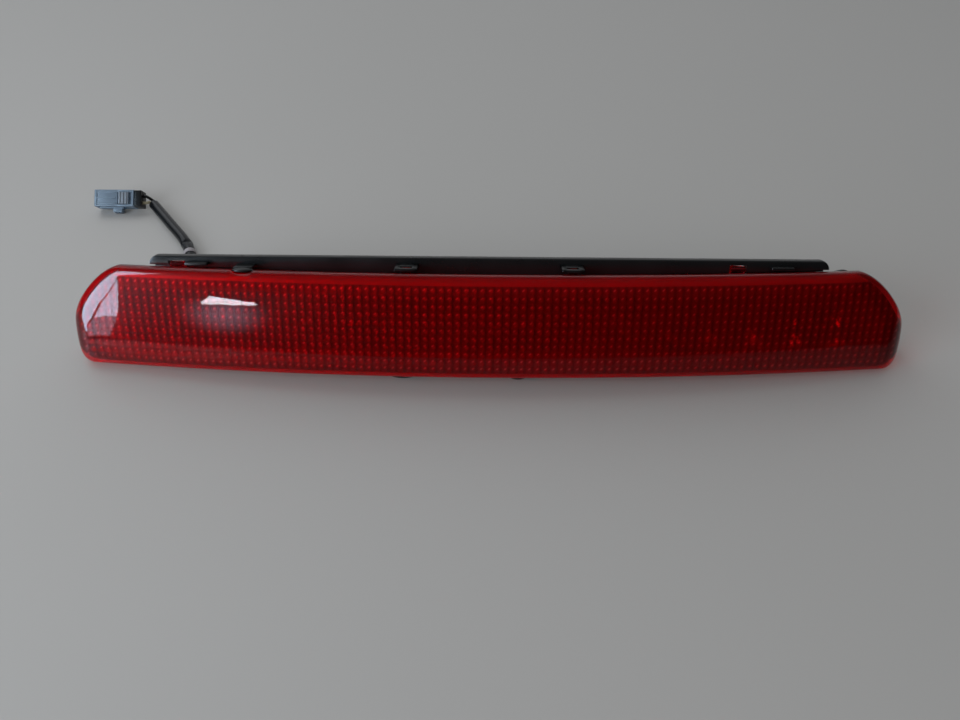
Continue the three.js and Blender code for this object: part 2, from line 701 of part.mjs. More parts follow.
const lamp = new THREE.Group();
lamp.rotation.x = -LEAN;
lamp.position.z = REST_LIFT;
lamp.add(
  named('outer_lens', outerLens(), RED_LENS),
  named('lens_seal', lensSeal(), RUBBER),
  named('housing', housing(), BLACK_PLASTIC),
  named('reflector', reflector(), SILVER),
  named('circuit_board', circuitBoard(), BOARD_GREEN),
);
cellCentres().forEach((x, i) => {
  lamp.add(named(`led_${String(i + 1).padStart(2, '0')}`, led(x), LED_RED));
});
[-146, -34, 56, 112].forEach((x, i) => {
  lamp.add(named(`resistor_${i + 1}`, axialPart(x, 36, 9, 1.7), RESISTOR_TAN));
});
lamp.add(named('diode', axialPart(-120, 18, 6, 1.3), WIRE_BLACK));
for (const [side, x] of Object.entries(SCREW_X)) {
  lamp.add(named(`board_screw_${side}`, boardScrew(x), STEEL));
}
for (const [side, sign] of [['left', -1], ['right', 1]]) {
  lamp.add(named(`mounting_stud_${side}`, stud(sign * STUD.x), STEEL));
  lamp.add(named(`stud_washer_${side}`, studWasher(sign * STUD.x), RUBBER));
}
lamp.add(
  named('vent_cap', ventCap(), RUBBER),
  named('cable_grommet', grommet(), RUBBER),
  named('inner_wire_red', innerWire(1), WIRE_RED),
  named('inner_wire_black', innerWire(-1), WIRE_BLACK),
);

const connector = new THREE.Group();
connector.position.set(CONNECTOR.x, CONNECTOR.y, CONNECTOR_LIFT);
connector.rotation.x = CONNECTOR_ROLL;
connector.add(
  named('connector_housing', connectorHousing(), CONNECTOR_GREY),
  named('connector_cap', connectorCap(), BLACK_PLASTIC),
  named('connector_terminal_1', connectorTerminal(-1), BRASS),
  named('connector_terminal_2', connectorTerminal(1), BRASS),
  named('connector_lock', connectorLock(), CONNECTOR_GREY),
  named('connector_retainer', connectorRetainer(), PALE_NYLON),
);

const part = new THREE.Group();
part.position.y = -FOOT_CENTRE;
part.add(
  lamp,
  connector,
  named('cable_sleeve', cableSleeve(), SLEEVE_PVC),
  named('plug_wire_1', plugWire(-1), WIRE_YELLOW),
  named('plug_wire_2', plugWire(1), WIRE_BLACK),
);

export default part;
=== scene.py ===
# Looks of a high-level third brake light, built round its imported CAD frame.
# Lengths are in millimetres in the lamp's own frame (X along the lamp, Y from the lens back,
# Z up the lens) and are turned into metres on the bench by to_bench().
import math

import bmesh
import bpy
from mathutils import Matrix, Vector


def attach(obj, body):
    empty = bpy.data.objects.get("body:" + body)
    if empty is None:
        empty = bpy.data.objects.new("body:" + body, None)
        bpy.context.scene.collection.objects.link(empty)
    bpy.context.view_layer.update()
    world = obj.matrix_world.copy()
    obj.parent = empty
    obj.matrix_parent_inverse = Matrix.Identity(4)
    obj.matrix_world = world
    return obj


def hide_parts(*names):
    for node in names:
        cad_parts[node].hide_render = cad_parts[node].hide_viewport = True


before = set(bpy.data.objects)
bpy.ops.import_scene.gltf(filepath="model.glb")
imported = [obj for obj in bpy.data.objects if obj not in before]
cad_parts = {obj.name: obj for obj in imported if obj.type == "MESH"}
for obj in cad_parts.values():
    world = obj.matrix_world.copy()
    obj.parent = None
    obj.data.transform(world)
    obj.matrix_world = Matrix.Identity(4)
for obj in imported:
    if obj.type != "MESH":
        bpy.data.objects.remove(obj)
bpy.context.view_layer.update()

# ---------------------------------------------------------------- driving dimensions
LEAN = math.radians(28)
REST_LIFT = 10.9
FOOT_CENTRE = 36.75
GAP = 0.3

LENS_HALF = 212.0
LENS_HEIGHT = 51.8
BOW_RADIUS = 1139.0
FACE_LEAD = 3.0
EDGE_ROUND = 5.5
CROWN = 1.5
END_ROLL = 9.0
LOWER_CORNER = (10.0, 10.0, LENS_HALF)
UPPER_CORNER = (32.0, 38.0, LENS_HALF + 2, 1.5)
SKIRT_LOW = 6.0
SKIRT_SLOPE = 0.23
SKIRT_DRAFT = 3.9
DRAFT_SPARE = 25.0      # height of an end, less its rim walls, over which the draft eases off
RIM_WALLS = 9.6         # both rim walls of an end and the least gap between them
SKIRT_FALL = 0.3        # slope of the ledge on top of the skirt
LENS_WALL = 2.5
FACE_POWER = 6.0
SKIRT_START = 4.2
NOTCH_X = -119.5
NOTCH_HALF = 5.5
NOTCH_DEPTH = 1.5
NOTCH_Z = 51.4

PILLOW_PITCH = 3.95
PILLOW_ROWS = 11
PILLOW_COLUMNS = 101
PILLOW_LOW = 2.9
PILLOW_DEPTH = 0.6
PILLOW_STEPS = 6

BACK_Y = 45.0
BACK_HALF = 184.0
END_BACK_DEPTH = 6.0
SEAL_INSET = 2.3
SEAL_THICK = 1.0
WALL = 2.2
TRAY_FRONT = SEAL_THICK + 2 * GAP

LIP_HALF = 167.4
LIP_FRONT = 18.0
LIP_THICK = 5.0
LIP_TOP = 56.4
LIP_CORNER = 4.0
LIP_EDGE = 0.8
LIP_FOOT = 44.8
LIP_FOOT_BOW = 0.5      # the lip reaches down to its foot where the lens bows less than this
DECK_LOW = 49.0
DECK_TOP = 51.0
RISER_LOW = 44.0
RIB_LOW = 44.6
LENS_TABS = (-153.9, 122.6)
TAB_WIDTH = 7.2
TAB_TOP = 53.4
LOOP_X = 40.3
HOOK_X = 143.6
LOWER_HOOKS = ((-55.0, -32.0), (7.0, 23.0))
CORNER_FIN = (170.0, 198.0)
FIN_DEPTH = 9.0

CELLS = 17
CELL_PITCH = 21.6
CELL_TALL = 13.6
CELL_BACK = 30.0
RIM_FRONT = 5.0
RIM_THICK = 1.2
RIM_HALF = 199.0
RIM_INSET = 3.8
RIM_CORNER = 6.0
RIM_STRETCH = LENS_HALF / (RIM_HALF + 4.4)
ROW_Z = 26.7
BOARD_FRONT = 32.0
LED_RADIUS = 2.5
LED_LENGTH = 7.0

SCREW_X = {"left": -97.2, "middle": 10.8, "right": 97.2}
STUD_X = 105.0
STUD_Z = 38.0
STUD_RADIUS = 2.5
STUD_SEAT = 48.0
STUD_END = 62.0
STUD_PITCH = 0.8
CABLE_EXIT = (-168.0, 34.0)
NOSE_END = 55.0
VENT = (60.0, 31.0)
SLEEVE_RADIUS = 3.1
SLEEVE_LIE = 3.2
TIE_SHARE = 0.41
TIE_THICK = 0.7
WIRE_RADIUS = 0.9
TERMINAL_SPACING = 2.1
CONNECTOR_AT = (-230.0, 151.4, 3.75)
CONNECTOR_ROLL = math.radians(40)


# ---------------------------------------------------------------- shape formulas
def to_bench(point):
    """Lamp frame in millimetres to the bench frame in metres."""
    x, y, z = point
    return (
        x / 1000,
        (y * math.cos(LEAN) + z * math.sin(LEAN) - FOOT_CENTRE) / 1000,
        (-y * math.sin(LEAN) + z * math.cos(LEAN) + REST_LIFT) / 1000,
    )


def on_bench(point):
    """Bench millimetres, measured from the lamp origin, to metres in the row frame."""
    x, y, z = point
    return (x / 1000, (y - FOOT_CENTRE) / 1000, z / 1000)


def in_metres(point):
    return tuple(c / 1000 for c in point)


def bow(x):
    return x * x / (2 * BOW_RADIUS)


def corner_rise(x, along, up, reach, power=2.0):
    """Rise of a rounded corner that ends at `reach`. A power under 2 makes the corner slant."""
    into = max(0.0, abs(x) - (reach - along)) / along
    return up * (1 - max(0.0, 1 - into ** power) ** (1 / power))


def lower_edge(x):
    return corner_rise(x, *LOWER_CORNER)


def upper_edge(x):
    return LENS_HEIGHT - corner_rise(x, *UPPER_CORNER)


def rear_drop(x):
    """Fall of the top skirt from rim to rear edge, easing off where the ends get low."""
    spare = upper_edge(x) - lower_edge(x) - RIM_WALLS
    return SKIRT_DRAFT * min(1.0, spare / DRAFT_SPARE)


def end_roll(x):
    return corner_rise(x, END_ROLL, END_ROLL, LENS_HALF)


def joint_y(x, z):
    return bow(x) + SKIRT_LOW + SKIRT_SLOPE * z


def bench_z(y):
    return (y * math.sin(LEAN) - REST_LIFT) / math.cos(LEAN)


def bench_y(z):
    return (z * math.cos(LEAN) + REST_LIFT) / math.sin(LEAN)


def smooth(value, low, high):
    t = min(1.0, max(0.0, (value - low) / (high - low)))
    return t * t * (3 - 2 * t)


# ---------------------------------------------------------------- mesh helpers
def face_outward(mesh):
    """Turns every closed shell of a mesh so that its faces look outwards."""
    shells = bmesh.new()
    shells.from_mesh(mesh)
    bmesh.ops.recalc_face_normals(shells, faces=shells.faces)
    shells.to_mesh(mesh)
    shells.free()


def new_object(name, verts, faces, sharp=35, place=to_bench, tags=()):
    mesh = bpy.data.meshes.new(name)
    mesh.from_pydata([place(v) for v in verts], [], faces)
    for polygon, tag in zip(mesh.polygons, tags):
        polygon.material_index = tag
    mesh.validate()
    face_outward(mesh)
    mesh.shade_smooth()
    mesh.set_sharp_from_angle(angle=math.radians(sharp))
    obj = bpy.data.objects.new(name, mesh)
    bpy.context.scene.collection.objects.link(obj)
    return obj


class Build:
    """Collects the vertices and faces of several closed shells for one object."""

    def __init__(self):
        self.verts = []
        self.faces = []
        self.tags = []

    def add(self, verts, faces, tags=()):
        base = len(self.verts)
        self.verts += verts
        self.faces += [[base + i for i in face] for face in faces]
        self.tags += list(tags) if tags else [0] * len(faces)

    def rings(self, rings, closed=False):
        """Rings of equal length joined one to the next, capped at both ends or closed to a loop."""
        count = len(rings[0])
        faces = []
        for i in range(len(rings) if closed else len(rings) - 1):
            here, there = i * count, (i + 1) % len(rings) * count
            for j in range(count):
                k = (j + 1) % count
                faces.append([here + j, here + k, there + k, there + j])
        if not closed:
            last = (len(rings) - 1) * count
            faces.append(list(range(count))[::-1])
            faces.append([last + j for j in range(count)])
        self.add([p for ring in rings for p in ring], faces)

    def loft(self, stations, section):
        """Closed sections of (y, z), counter-clockwise seen from +X, along X."""
        self.rings([[(x, y, z) for y, z in section(x)] for x in stations])

    def box(self, low, high, bevel=0.4):
        """A box with rounded edges."""
        self.rings(box_rings(low, high, bevel))

    def turned(self, profile, x, z, sides=32):
        """A profile of (radius, y) turned about an axis along Y."""
        rings = []
        for radius, y in profile:
            ring = []
            for i in range(sides):
                turn = -2 * math.pi * i / sides
                ring.append((x + radius * math.cos(turn), y, z + radius * math.sin(turn)))
            rings.append(ring)
        self.rings(rings)

    def object(self, name, sharp=35, place=to_bench):
        return new_object(name, self.verts, self.faces, sharp, place, self.tags)


def arc(x, y, radius, start, end, steps):
    """Points on an arc about (x, y) between two angles in degrees."""
    turns = [math.radians(start + (end - start) * i / steps) for i in range(steps + 1)]
    return [(x + radius * math.cos(turn), y + radius * math.sin(turn)) for turn in turns]


def rounded_outline(x0, x1, y0, y1, radius, steps=3):
    """Points round a rectangle with rounded corners, counter-clockwise."""
    corners = [(x1, y0, -90), (x1, y1, 0), (x0, y1, 90), (x0, y0, 180)]
    points = []
    for cx, cy, start in corners:
        ox = cx - math.copysign(radius, cx - (x0 + x1) / 2)
        oy = cy - math.copysign(radius, cy - (y0 + y1) / 2)
        points += arc(ox, oy, radius, start, start + 90, steps)
    return points


def box_rings(low, high, bevel, steps=3):
    """Rings up Z of a box whose twelve edges are rounded."""
    (x0, y0, z0), (x1, y1, z1) = low, high
    bevel = min(bevel, (x1 - x0) / 2.1, (y1 - y0) / 2.1, (z1 - z0) / 2.1)
    rings = []
    for end in (0, 1):
        for i in range(steps + 1):
            turn = math.pi / 2 * (i / steps if end == 0 else 1 - i / steps)
            inset = bevel * (1 - math.sin(turn))
            rise = bevel * (1 - math.cos(turn))
            z = z0 + rise if end == 0 else z1 - rise
            outline = rounded_outline(
                x0 + inset, x1 - inset, y0 + inset, y1 - inset, max(bevel - inset, 0.02), steps)
            rings.append([(x, y, z) for x, y in outline])
    return rings


def spread(low, high, count):
    return [low + (high - low) * i / (count - 1) for i in range(count)]


def dish(build, outer, inner):
    """A wall between two open dishes, given as equal lists of open sections of points.

    Sections run from one rim to the other; the first and last sections are closed by a cap."""
    rows, count = len(outer), len(outer[0])
    verts = [p for row in outer for p in row] + [p for row in inner for p in row]
    base = rows * count
    faces = []
    for i in range(rows - 1):
        for j in range(count - 1):
            a = i * count + j
            faces.append([a, a + 1, a + count + 1, a + count])
    inner_count = len(inner[0])
    outside = len(faces)
    for i in range(rows - 1):
        for j in range(inner_count - 1):
            a = base + i * inner_count + j
            faces.append([a + inner_count, a + inner_count + 1, a + 1, a])
    inside = len(faces)
    for i in range(rows - 1):
        a, b = i * count, (i + 1) * count
        c, d = base + i * inner_count, base + (i + 1) * inner_count
        faces.append([b, d, c, a])
        a, b = a + count - 1, b + count - 1
        c, d = c + inner_count - 1, d + inner_count - 1
        faces.append([a, c, d, b])
    faces.append([j for j in range(count)][::-1])
    last = (rows - 1) * count
    faces.append([last + j for j in range(count)])
    faces.append([base + j for j in range(inner_count)])
    inner_last = base + (rows - 1) * inner_count
    faces.append([inner_last + j for j in range(inner_count)][::-1])
    faces.append([0, base, base + inner_count - 1, count - 1])
    faces.append([last, last + count - 1, inner_last + inner_count - 1, inner_last])
    tags = [1 if outside <= i < inside else 0 for i in range(len(faces))]
    build.add(verts, faces, tags)


# ---------------------------------------------------------------- materials
def new_material(name):
    material = bpy.data.materials.new(name)
    material.use_nodes = True
    nodes = material.node_tree.nodes
    return material, nodes, material.node_tree.links, nodes["Principled BSDF"]


def settle(node, **values):
    """Values of a node's sockets by name, with an underscore for each space."""
    for name, value in values.items():
        node.inputs[name.replace("_", " ")].default_value = value


def ramp_of(nodes, links, value, source, result, kind="LINEAR"):
    """Output that goes between the two numbers of `result` as a value crosses `source`."""
    ramp = nodes.new("ShaderNodeMapRange")
    ramp.interpolation_type = kind
    settle(ramp, From_Min=source[0], From_Max=source[1], To_Min=result[0], To_Max=result[1])
    links.new(value, ramp.inputs["Value"])
    return ramp.outputs["Result"]


def mix_of(nodes, links, factor, first, second):
    """Colour mixed from two, of which the first may be the output of another node."""
    mix = nodes.new("ShaderNodeMix")
    mix.data_type = "RGBA"
    if isinstance(first, tuple):
        mix.inputs["A"].default_value = first
    else:
        links.new(first, mix.inputs["A"])
    mix.inputs["B"].default_value = second
    links.new(factor, mix.inputs["Factor"])
    return mix.outputs["Result"]


def noise_of(nodes, links, scale, detail=2.0):
    """Strength of a noise that is fixed to the object."""
    place = nodes.new("ShaderNodeTexCoord")
    noise = nodes.new("ShaderNodeTexNoise")
    settle(noise, Scale=scale, Detail=detail)
    links.new(place.outputs["Object"], noise.inputs["Vector"])
    return noise.outputs["Fac"]


def add_bump(nodes, links, shader, scale, strength):
    """Fine moulded grain."""
    bump = nodes.new("ShaderNodeBump")
    settle(bump, Strength=strength, Distance=0.0002)
    links.new(noise_of(nodes, links, scale, 4.0), bump.inputs["Height"])
    links.new(bump.outputs["Normal"], shader.inputs["Normal"])


def moulded(name, colour, rough, grain=1800.0, strength=0.25, rough_spread=0.06, metallic=0.0,
            shine=0.5):
    """A moulded or metal surface with fine grain and slightly uneven tone and roughness."""
    material, nodes, links, shader = new_material(name)
    settle(shader, Specular_IOR_Level=shine, Metallic=metallic)
    add_bump(nodes, links, shader, grain, strength)
    broad = noise_of(nodes, links, 60.0, 6.0)
    roughness = ramp_of(nodes, links, broad, (0.3, 0.7), (rough - rough_spread, rough + rough_spread))
    links.new(roughness, shader.inputs["Roughness"])
    dark = (*[c * 0.82 for c in colour], 1)
    light = (*[min(1.0, c * 1.22) for c in colour], 1)
    links.new(mix_of(nodes, links, broad, dark, light), shader.inputs["Base Color"])
    return material


def let_light_through(nodes, links, shader, tint):
    """Lamps shine through the surface, tinted, as they would through a clear moulding."""
    through = nodes.new("ShaderNodeBsdfTransparent")
    through.inputs["Color"].default_value = tint
    path = nodes.new("ShaderNodeLightPath")
    mix = nodes.new("ShaderNodeMixShader")
    links.new(path.outputs["Is Shadow Ray"], mix.inputs["Fac"])
    links.new(shader.outputs["BSDF"], mix.inputs[1])
    links.new(through.outputs["BSDF"], mix.inputs[2])
    links.new(mix.outputs["Shader"], nodes["Material Output"].inputs["Surface"])


LENS_TINT = (0.80, 0.030, 0.045, 1)
LENS_SHADOW_TINT = (0.90, 0.10, 0.12, 1)
SKIRT_TINT = (0.55, 0.010, 0.015, 1)
OPTICS_GAP = (0.135, 0.0012, 0.003, 1)
OPTICS_TINT = (0.24, 0.0025, 0.005, 1)
# painted highlight: colour of the glint dot painted on each pillow
OPTICS_PAINTED_GLINT = (0.62, 0.034, 0.040, 1)
OPTICS_PLAIN = (0.46, 0.004, 0.008, 1)
OPTICS_SHADOW_TINT = (0.12, 0.006, 0.008, 1)
COLUMN_EDGE = (0.16, 0.44)      # where a column of pillows starts and ends to fade into the gap
# painted highlight: place, length and width of the glint dot painted within each pillow
PAINTED_GLINT_SHIFT = 0.08
PAINTED_GLINT_LENGTH = 0.40
PAINTED_GLINT_WIDTH = 0.22


def lens_outside():
    """The polished outer face: clear red acrylic with a faint haze of dust and wiping marks."""
    material, nodes, links, shader = new_material("lens_outside")
    settle(shader, Base_Color=LENS_TINT, Transmission_Weight=1.0, IOR=1.49, Roughness=0.02,
           Specular_Tint=(0.26, 0.25, 0.265, 1), Coat_Weight=0.06, Coat_Roughness=0.30)
    let_light_through(nodes, links, shader, LENS_SHADOW_TINT)
    return material


def value_of(nodes, links, operation, *values):
    """Output of a Math node fed by numbers or by other outputs."""
    node = nodes.new("ShaderNodeMath")
    node.operation = operation
    for slot, value in enumerate(values):
        if isinstance(value, (int, float)):
            node.inputs[slot].default_value = value
        else:
            links.new(value, node.inputs[slot])
    return node.outputs[0]


def fade(nodes, links, value, full, none):
    """1 where a value is at `full`, falling smoothly to 0 where it reaches `none`."""
    return ramp_of(nodes, links, value, (full, none), (1.0, 0.0), "SMOOTHSTEP")


def pillow_colour(nodes, links, target):
    """Painted highlight: each pillow gets a slanting bright dot painted into its colour, standing in for
    the glint of the lamps in its curve, on a column lighter than the gaps.
    """
    per_metre = 1000 / PILLOW_PITCH
    origin = (FOOT_CENTRE * math.sin(LEAN) - REST_LIFT * math.cos(LEAN) - PILLOW_LOW) / PILLOW_PITCH
    place = nodes.new("ShaderNodeTexCoord").outputs["Object"]
    across, counts = [], []
    for axis, start in (((per_metre, 0, 0), 0.5),
                        ((0, per_metre * math.sin(LEAN), per_metre * math.cos(LEAN)), origin)):
        along = nodes.new("ShaderNodeVectorMath")
        along.operation = "DOT_PRODUCT"
        along.inputs[1].default_value = axis
        links.new(place, along.inputs[0])
        counts.append(value_of(nodes, links, "ADD", along.outputs["Value"], start))
        wrapped = value_of(nodes, links, "FRACT", value_of(nodes, links, "ADD", counts[-1], 100))
        across.append(value_of(nodes, links, "SUBTRACT", wrapped, 0.5))
    u, v = across
    from_middle = value_of(nodes, links, "ABSOLUTE", value_of(
        nodes, links, "SUBTRACT", counts[1], PILLOW_ROWS / 2))
    inside = fade(nodes, links, from_middle, PILLOW_ROWS / 2, PILLOW_ROWS / 2 + 0.1)
    right = value_of(nodes, links, "SUBTRACT", u, PAINTED_GLINT_SHIFT)
    up = value_of(nodes, links, "SUBTRACT", v, PAINTED_GLINT_SHIFT)
    length = value_of(nodes, links, "DIVIDE", value_of(nodes, links, "ADD", right, up), PAINTED_GLINT_LENGTH)
    width = value_of(nodes, links, "DIVIDE", value_of(nodes, links, "SUBTRACT", right, up), PAINTED_GLINT_WIDTH)
    away = value_of(nodes, links, "ADD", value_of(nodes, links, "MULTIPLY", length, length),
                    value_of(nodes, links, "MULTIPLY", width, width))
    column = fade(nodes, links, value_of(nodes, links, "ABSOLUTE", u), *COLUMN_EDGE)
    # painted highlight: mask of the glint dot painted on each pillow
    painted_glint_mask = fade(nodes, links, away, 0.0, 1.0)
    beyond = value_of(nodes, links, "SUBTRACT", 1.0, inside)
    colour = OPTICS_GAP
    for amount, tint in ((column, OPTICS_TINT), (painted_glint_mask, OPTICS_PAINTED_GLINT), (beyond, OPTICS_PLAIN)):
        colour = mix_of(nodes, links, amount, colour, tint)
    links.new(colour, target)


def lens_inside():
    """The pillow optics on the inner face, which scatter and mirror some of the light; their colour also
    carries a painted highlight, a bright dot on each pillow.
    """
    material, nodes, links, shader = new_material("lens_inside")
    pillow_colour(nodes, links, shader.inputs["Base Color"])
    settle(shader, Metallic=0.12, Transmission_Weight=0.58, IOR=1.06, Roughness=0.28)
    let_light_through(nodes, links, shader, OPTICS_SHADOW_TINT)
    return material


def lens_skirt():
    """The moulded side walls and rear edge: the same red, softly scattering the light they carry."""
    material, nodes, links, shader = new_material("lens_skirt")
    settle(shader, Base_Color=SKIRT_TINT, Transmission_Weight=0.25, IOR=1.1, Roughness=0.25,
           Coat_Weight=0.3, Coat_Roughness=0.1)
    let_light_through(nodes, links, shader, LENS_SHADOW_TINT)
    return material


def floor_material():
    """Plain pale laminate, very slightly uneven in tone."""
    material, nodes, links, shader = new_material("pale_floor")
    settle(shader, Roughness=0.5, Specular_IOR_Level=0.3)
    tone = noise_of(nodes, links, 3.0)
    colour = mix_of(nodes, links, tone, (0.550, 0.540, 0.515, 1), (0.575, 0.562, 0.540, 1))
    links.new(colour, shader.inputs["Base Color"])
    return material


def make_materials():
    return {
        "lens": lens_outside(),
        "optics": lens_inside(),
        "skirt": lens_skirt(),
        "black": moulded("black_plastic", (0.007, 0.0072, 0.0075), 0.30, 2600.0, 0.12, shine=0.35),
        "silver": moulded("metallised", (0.72, 0.72, 0.74), 0.2, 900.0, 0.05, 0.05, 1.0),
        "dull": moulded("metallised_rim", (0.62, 0.62, 0.64), 0.5, 900.0, 0.1, 0.05, 0.6),
        "board": moulded("board_mask", (0.012, 0.075, 0.028), 0.35, 500.0, 0.1),
        "led": moulded("led_epoxy", (0.45, 0.01, 0.012), 0.12, 300.0, 0.02),
        "tan": moulded("resistor_lacquer", (0.42, 0.28, 0.13), 0.3, 600.0, 0.1),
        "epoxy": moulded("component_epoxy", (0.015, 0.015, 0.015), 0.4, 900.0, 0.2),
        "steel": moulded("zinc_steel", (0.55, 0.56, 0.58), 0.32, 1400.0, 0.15, 0.08, 1.0),
        "brass": moulded("tinned_brass", (0.62, 0.48, 0.24), 0.3, 900.0, 0.1, 0.05, 1.0),
        "rubber": moulded("black_rubber", (0.014, 0.014, 0.015), 0.62, 1600.0, 0.35),
        "foam": moulded("closed_cell_foam", (0.022, 0.022, 0.024), 0.9, 900.0, 1.0),
        "sleeve": moulded("sleeve_pvc", (0.006, 0.007, 0.009), 0.24, 240.0, 0.35, 0.0, shine=0.3),
        "grey": moulded("connector_nylon", (0.200, 0.275, 0.360), 0.36, 1500.0, 0.2),
        "pale": moulded("pale_nylon", (0.25, 0.29, 0.34), 0.4, 1200.0, 0.15),
        "tie": moulded("tie_nylon", (0.36, 0.33, 0.34), 0.45, 900.0, 0.2),
        "wire_pale": moulded("wire_pale", (0.55, 0.50, 0.34), 0.3, 900.0, 0.1),
        "wire_black": moulded("wire_black", (0.013, 0.013, 0.014), 0.3, 900.0, 0.1),
        "wire_red": moulded("wire_red", (0.32, 0.012, 0.012), 0.3, 900.0, 0.1),
        "floor": floor_material(),
    }


def finish_piece(piece, material, body="lamp", nodes=()):
    """Material, body and replaced CAD nodes of one new piece."""
    piece.data.materials.append(material)
    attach(piece, body)
    if nodes:
        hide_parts(*nodes)
    return piece


def add_piece(build, node, material, body="lamp", sharp=35, place=to_bench):
    """A new piece that stands for the CAD node of the same name."""
    piece = build.object(node + "_visual", sharp, place)
    return finish_piece(piece, material, body, (node,))


# ---------------------------------------------------------------- camera, floor and light
CAMERA_AT = (-4.2, -359.0, 140.0)   # in the lamp frame
CAMERA_PITCH = 47.93                # degrees below the horizon
CAMERA_ROLL = 0.50
FOCAL = 29.25
LAMP_MIDDLE = Vector((0, 0, 0.03))
FLOOR = 4.0             # half the floor's side, in metres
END_SPOT = (-0.190, -0.0112, 0.0313)    # on the left end of the lens, where the panes are seen
GAP_SPOT = (-0.130, -0.0154, 0.0415)    # on the lens, where the gap of sky is seen
SKY = (0.60, 0.80, 1.0)
BRIGHT_SKY = (0.93, 0.96, 1.0)
# Cards seen in the lens: spot, distance, strength, colour, corners as (azimuth, elevation).
CARDS = {
    "pane_main": (END_SPOT, 1.5, 29.0, SKY, [
        (42.7, 5.6), (47.4, 5.6), (48.6, 21.4), (46.8, 21.0), (45.0, 16), (43.6, 10)]),
    "pane_sill": (END_SPOT, 1.5, 6.5, SKY, [(42.2, 0.2), (47.2, 0.2), (47.4, 5.6), (42.7, 5.6)]),
    "pane_side": (END_SPOT, 1.5, 30.0, SKY, [
        (48.0, 1.0), (64, 1.0), (64, 40), (49.8, 40), (49.4, 21.4)]),
    "gap_of_sky": (GAP_SPOT, 2.0, 60.0, BRIGHT_SKY, [
        (34.4, 11.9), (27.2, 13.6), (27.3, 14.3), (33.9, 16.1)]),
    "soft_glow": (GAP_SPOT, 2.1, 8.0, SKY, [(23, 0), (42, 0), (42, 26), (23, 26)]),
}
GLOW_HEADING = (31.0, 10.0)
GLOW_REACH = 0.26


def add_camera():
    data = bpy.data.cameras.new("camera")
    data.lens = FOCAL
    data.sensor_width = 36.0
    data.clip_start = 0.01
    camera = bpy.data.objects.new("camera", data)
    camera.location = to_bench(CAMERA_AT)
    camera.rotation_euler = (math.radians(90 - CAMERA_PITCH), 0, 0)
    camera.rotation_euler.rotate_axis("Z", math.radians(CAMERA_ROLL))
    bpy.context.scene.collection.objects.link(camera)
    bpy.context.scene.camera = camera


def area_light(name, toward, distance, size, power, colour):
    """A rectangular soft light in a direction from the lamp, facing it."""
    data = bpy.data.lights.new(name, "AREA")
    data.shape = "RECTANGLE"
    data.size, data.size_y = size
    data.energy = power
    data.color = colour
    light = bpy.data.objects.new(name, data)
    direction = Vector(toward).normalized()
    light.location = LAMP_MIDDLE + direction * distance
    light.rotation_euler = direction.to_track_quat("Z", "Y").to_euler()
    bpy.context.scene.collection.objects.link(light)
    return light


def heading(azimuth, elevation):
    """Unit vector towards a direction: azimuth from the front towards the left, in degrees."""
    a, e = math.radians(azimuth), math.radians(elevation)
    return Vector((-math.sin(a) * math.cos(e), -math.cos(a) * math.cos(e), math.sin(e)))


def light_card(name, spot, distance, strength, colour, corners):
    """A flat glowing card seen in the lens: its corners are headings from a spot on the lens."""
    points = [Vector(spot) + heading(*corner) * distance for corner in corners]
    mesh = bpy.data.meshes.new(name)
    mesh.from_pydata(points, [], [list(range(len(points)))])
    material = bpy.data.materials.new(name)
    material.use_nodes = True
    nodes = material.node_tree.nodes
    nodes.remove(nodes["Principled BSDF"])
    glow = nodes.new("ShaderNodeEmission")
    settle(glow, Color=(*colour, 1), Strength=strength)
    material.node_tree.links.new(glow.outputs["Emission"], nodes["Material Output"].inputs["Surface"])
    mesh.materials.append(material)
    card = bpy.data.objects.new(name, mesh)
    bpy.context.scene.collection.objects.link(card)
    card.visible_diffuse = False
    return material


def fade_edges(material, middle, reach):
    """Makes a glowing card fade out smoothly with distance from a point of it."""
    nodes, links = material.node_tree.nodes, material.node_tree.links
    strength = nodes["Emission"].inputs["Strength"]
    place = nodes.new("ShaderNodeTexCoord")
    away = nodes.new("ShaderNodeVectorMath")
    away.operation = "DISTANCE"
    away.inputs[1].default_value = middle
    links.new(place.outputs["Object"], away.inputs[0])
    glow = ramp_of(nodes, links, away.outputs["Value"], (0.0, reach), (strength.default_value, 0.0),
                   "SMOOTHERSTEP")
    links.new(glow, strength)


def shade_by_direction(tree, target):
    """Room light: bright overhead and behind the lamp, dim in front of it."""
    nodes, links = tree.nodes, tree.links
    place = nodes.new("ShaderNodeTexCoord")
    split = nodes.new("ShaderNodeSeparateXYZ")
    links.new(place.outputs["Generated"], split.inputs["Vector"])
    above = ramp_of(nodes, links, split.outputs["Z"], (0.25, 1.0), (0.01, 0.24), "SMOOTHSTEP")
    behind = ramp_of(nodes, links, split.outputs["Y"], (0.0, 1.0), (0.0, 0.55), "SMOOTHSTEP")
    links.new(value_of(nodes, links, "ADD", above, behind), target)


def add_lights():
    world = bpy.data.worlds.new("studio")
    world.use_nodes = True
    background = world.node_tree.nodes["Background"]
    background.inputs["Color"].default_value = (0.95, 0.97, 1.0, 1)
    shade_by_direction(world.node_tree, background.inputs["Strength"])
    bpy.context.scene.world = world
    area_light("sky_left", (-0.62, 0.50, 0.80), 2.0, (1.5, 1.3), 7.2, (0.90, 0.95, 1.0))
    window = area_light("window_left", heading(55, 26), 1.15, (0.7, 0.6), 5.0, (0.86, 0.92, 1.0))
    room = area_light("room_front", (-0.05, -0.72, 0.62), 2.2, (1.8, 1.4), 3.2, (1.0, 0.93, 0.85))
    for lamp in (window, room):
        lamp.visible_glossy = False
    glowing = {name: light_card(name, *card) for name, card in CARDS.items()}
    spot, distance = CARDS["soft_glow"][:2]
    fade_edges(glowing["soft_glow"], Vector(spot) + heading(*GLOW_HEADING) * distance, GLOW_REACH)


